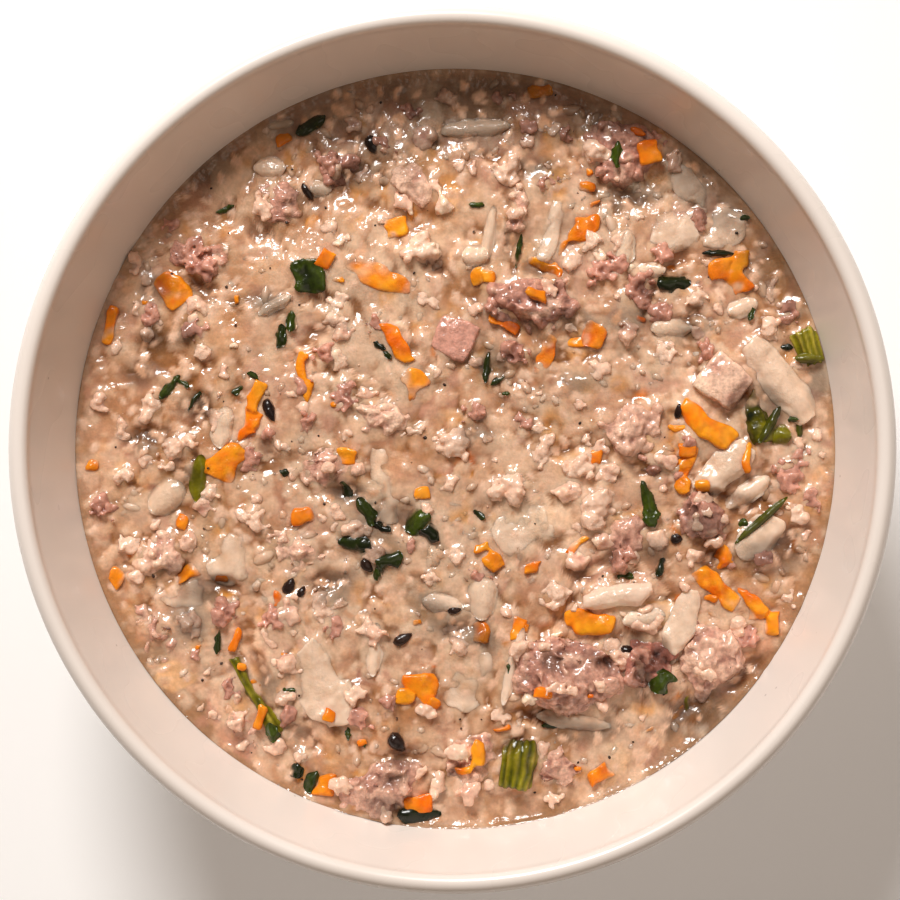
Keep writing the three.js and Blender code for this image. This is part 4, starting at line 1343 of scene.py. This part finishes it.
def build_crumbs():
    pale = (WHITE_MEAT, MEAT_CREAM)
    build_clumps("pale_crumbs", PALE_CRUMBS, pale, CRUMB_SHADE, 41)
    build_clumps("pink_crumbs", PINK_CRUMBS, (MEAT_MAUVE, MEAT_PINK), PINK_SHADE, 42, angular=True)
    rows = random_rows(110, (2.0, 6.0), 43)
    build_clumps("small_pale_crumbs", rows, pale, CRUMB_SHADE, 44, SMALL_CRUMB_VOXEL)
    rows = random_rows(190, (2.0, 6.5), 45)
    tones = (MEAT_PINK, MEAT_CREAM)
    # MEAT_MAUVE is painted shade in these crumbs' hollows.
    build_clumps("small_pink_crumbs", rows, tones, MEAT_MAUVE, 46, SMALL_CRUMB_VOXEL)


build_crumbs()


class Pile:
    """Many small pieces of one kind, joined."""

    def __init__(self, seed):
        self.random = np.random.default_rng(seed)
        self.vertices = []
        self.faces = []
        self.colours = []
        self.count = 0

    def add(self, form, centre, turn, lean, colour):
        """Adds one piece: its form in its own frame, set down at centre."""
        vertices, faces = form
        matrix = leaning(lean, self.random.uniform(-math.pi, math.pi)) @ spun(turn)
        self.vertices.append(vertices @ matrix.T + centre)
        self.faces.append(faces + self.count)
        self.colours.append(colour if np.ndim(colour) == 2 else np.ones((len(vertices), 3)) * colour)
        self.count += len(vertices)

    def build(self, name, material, smear=0.4):
        faces = [tuple(face) for part in self.faces for face in part.tolist()]
        mesh = mesh_of(name, np.concatenate(self.vertices), faces)
        tint(mesh, smeared(mesh, np.concatenate(self.colours), smear))
        piece(name, mesh, material)


BALL = ball(2)


def rice_grain(length, width, random, form):
    """A plump cooked grain with a soft bend and dents."""
    vertices, faces = form
    points = vertices.copy()
    points[:, 1:] *= 1 - 0.25 * points[:, :1] ** 4
    points = points * [length / 2, width / 2, width * 0.45]
    points[:, 1] += random.uniform(-0.05, 0.05) * points[:, 0] ** 2
    points *= 1 + 0.09 * noise(points + random.uniform(0, 500), 1.4)[:, None]
    return points, faces


def shard(length, width, thickness, random):
    """A cut bit of carrot: the hull of uneven corners."""
    corners = [(np.array(corner) - 0.5) * random.uniform(0.45, 1.0, 3) for corner in np.ndindex(2, 2, 2)]
    corners += list(random.uniform(-0.5, 0.5, (6, 3)))
    return hull(corners * np.array([length, width, thickness]))


LEAF_SLAB = slab(13, 7)


def flake(length, width, thickness, random, curl, ragged):
    """A thin bent flake with an uneven outline."""
    vertices, faces = LEAF_SLAB
    u, v = vertices[:, 0], vertices[:, 1]
    shift = random.uniform(0, 500)
    side = np.stack([u * length, v * width, np.zeros_like(u)], axis=1) / 2
    outline = 1 - 0.45 * u**4 + ragged * noise(side + shift, width * 0.5)
    x = u * length / 2 * (1 - 0.2 * v * v) + ragged * noise(side + shift + 50, 1.5)
    y = v * width / 2 * outline
    bend = curl * width * 0.35 * (0.5 - v * v) + 0.4 * curl * noise(side + shift + 90, 1.6)
    z = vertices[:, 2] * thickness * (1 - 0.6 * np.maximum(np.abs(u), np.abs(v)) ** 3) + bend
    return np.stack([x, y, z], axis=1), faces


def build_whole_rice():
    pile = Pile(51)
    random = pile.random
    for x, y in zip(*uncovered(*scatter_points(240, random, 0.5, 12))):
        width = random.uniform(2.0, 2.6)
        form = rice_grain(random.uniform(3.6, 6.0), width, random, BALL)
        z = SURFACE.at(x, y) + random.uniform(-0.5, -0.2) * width
        colour = mix(GRAIN_PALE, RICE_WHITE, random.random())
        pile.add(form, (x, y, z), random.uniform(0, 360), random.uniform(0, 0.25), colour)
    pile.build("rice_grains", RICE, 1.0)


def build_broken_rice():
    pile = Pile(52)
    random = pile.random
    for x, y in zip(*uncovered(*scatter_points(1250, random, 0.3, 9))):
        width = random.uniform(1.0, 2.2)
        form = rice_grain(width * random.uniform(1.1, 2.1), width, random, SMALL_BALL)
        z = SURFACE.at(x, y) + random.uniform(-0.5, -0.15) * width
        colour = mix(GRAIN_TAN, RICE_WHITE, random.random())
        pile.add(form, (x, y, z), random.uniform(0, 360), random.uniform(0, 0.6), colour)
    pile.build("broken_rice", RICE, 0.8)


def build_carrot_bits():
    random = np.random.default_rng(61)
    shells = []
    for x, y, length, width, turn in CARROT_BITS:
        vertices, faces = shard(length * 1.15, width * 1.15, min(width, 2.2), random)
        z = float(top_at(x, y)) + random.uniform(-0.3, 0.25)
        matrix = leaning(random.uniform(0, 0.2), random.uniform(0, 6)) @ spun(turn)
        shells.append((vertices @ matrix.T + [x, y, z], faces))
    mesh = remeshed("carrot_bits", shells, CARROT_VOXEL)
    soften(mesh, 1)
    warp(mesh, 2.2, 0.6, 61)
    roughen(mesh, 1.5, 0.2, 61)
    tint(mesh, smeared(mesh, colour_by(mesh, (CARROT_DEEP, CARROT_LIGHT), 5, 62), 0.5))
    piece("carrot_bits", mesh, CARROT)


def build_flakes(name, rows, seed, form, colours, rest, material, smear):
    """Thin flakes. form is (thickness, curl, ragged), and rest is (height on the food, largest tilt)."""
    pile = Pile(seed)
    thickness, curl, ragged = form
    for x, y, length, width, turn in rows:
        leaf = flake(length, width, thickness, pile.random, curl, ragged)
        colour = mix(colours[0], colours[1], pile.random.random())
        z = float(top_at(x, y)) + rest[0]
        pile.add(leaf, (x, y, z), turn, pile.random.uniform(0, rest[1]), colour)
    pile.build(name, material, smear)


def build_vegetable_flakes():
    onion, celery, herb = (0.9, 0.8, 0.12), (1.0, 0.9, 0.12), (0.35, 1.0, 0.5)
    tones = (ONION_CLEAR, ONION)
    build_flakes("onion_flakes", ONION_FLAKES, 62, onion, tones, (0.15, 0.12), CABBAGE, 0.5)
    tones = (CELERY_GREEN, CELERY_DARK)
    build_flakes("celery_bits", CELERY_BITS, 63, celery, tones, (0.2, 0.1), CELERY, 0.4)
    tones = (LEAF_DARK, LEAF_GREEN)
    build_flakes("herb_bits", HERB_BITS, 64, herb, tones, (0.25, 0.25), LEAF, 0.25)


def build_black_seeds():
    seeds = Pile(71)
    for x, y, length, width, turn in SEEDS:
        vertices, faces = BALL
        points = vertices * [length / 2, width / 2, width * 0.4]
        points[:, 1:] *= 1 - 0.3 * vertices[:, :1]
        points *= 1 + 0.05 * np.cos(9 * np.arctan2(vertices[:, 2], vertices[:, 1]))[:, None]
        z = float(top_at(x, y)) + 0.25
        colour = mix(SEED_BLACK, SEED_BROWN, seeds.random.random())
        seeds.add((points, faces), (x, y, z), turn, 0.1, colour)
    seeds.build("black_seeds", SEED, 0.15)


def build_pepper():
    specks = Pile(72)
    for x, y in zip(*scatter_points(90, specks.random)):
        width = specks.random.uniform(0.25, 0.6)
        form = crumb(width * 1.3, width, specks.random)
        z = float(top_at(x, y)) + 0.05
        specks.add(form, (x, y, z), specks.random.uniform(0, 360), 0.3, SPECK_BROWN)
    specks.build("pepper_specks", SEED, 0.1)


build_whole_rice()
build_broken_rice()
build_carrot_bits()
build_vegetable_flakes()
build_black_seeds()
build_pepper()


def wet_edges():
    """Lets the sauce creep up round each piece."""
    tops = tops_of("_fine", "_crumbs")
    SURFACE.height += 0.75 * spread(np.clip(tops - SURFACE.height, 0, 1.2), 2, 7)


wet_edges()
build_porridge()


# ---- Floor, light and camera -----------------------------------------------------------------

def build_floor():
    size = 1500
    corners = [(-size, -size, 0), (size, -size, 0), (size, size, 0), (-size, size, 0)]
    mesh = mesh_of("floor", np.array(corners), [(0, 1, 2, 3)])
    material, _, shader = new_material("floor")
    set_inputs(shader, {
        "Base Color": (0.9, 0.89, 0.88, 1),
        "Roughness": 0.8,
        "Emission Color": (1, 0.98, 0.96, 1),
        "Emission Strength": 0.12,
    })
    mesh.materials.append(material)
    floor = bpy.data.objects.new("floor", mesh)
    bpy.context.scene.collection.objects.link(floor)


def add_light(name, azimuth, elevation, distance, size, power, colour):
    """An area light that shines on the food from a direction in degrees."""
    a, e = math.radians(azimuth), math.radians(elevation)
    target = Vector((0, 0, LEVEL * MM))
    direction = Vector((math.cos(a) * math.cos(e), math.sin(a) * math.cos(e), math.sin(e)))
    lamp = bpy.data.lights.new(name, "AREA")
    lamp.shape = "DISK"
    lamp.size = size
    lamp.energy = power
    lamp.color = colour
    thing = bpy.data.objects.new(name, lamp)
    thing.location = target + direction * distance
    thing.rotation_euler = (-direction).to_track_quat("-Z", "Y").to_euler()
    bpy.context.scene.collection.objects.link(thing)


def light_scene():
    add_light("key", 106, 44.5, 1.3, 0.45, 18.2, (1.0, 0.98, 0.96))
    add_light("fill", -20, 62, 1.5, 1.2, 2.2, (1.0, 0.84, 0.72))
    world = bpy.data.worlds.new("studio")
    world.use_nodes = True
    background = world.node_tree.nodes["Background"]
    background.inputs["Color"].default_value = (1.0, 0.78, 0.6, 1)
    background.inputs["Strength"].default_value = 0.18
    bpy.context.scene.world = world
    bpy.context.scene.view_settings.view_transform = "Standard"


CAMERA_DISTANCE = 600
CAMERA_SHIFT = (23, 5)


def place_camera():
    """Nearly straight above, with the rim's width filling the picture."""
    spot = np.array([*CAMERA_SHIFT, RIM_HEIGHT + CAMERA_DISTANCE]) * MM
    target = Vector((0, 0, RIM_HEIGHT * MM))
    camera = bpy.data.cameras.new("camera")
    camera.sensor_width = 36
    camera.lens = camera.sensor_width * CAMERA_DISTANCE / (2 * RIM_RADIUS + 1.2)
    thing = bpy.data.objects.new("camera", camera)
    thing.location = spot
    back = (Vector(spot) - target).normalized()
    right = Vector((0, 1, 0)).cross(back).normalized()
    thing.rotation_euler = Matrix((right, back.cross(right), back)).transposed().to_euler()
    bpy.context.scene.collection.objects.link(thing)
    bpy.context.scene.camera = thing


build_floor()
light_scene()
place_camera()
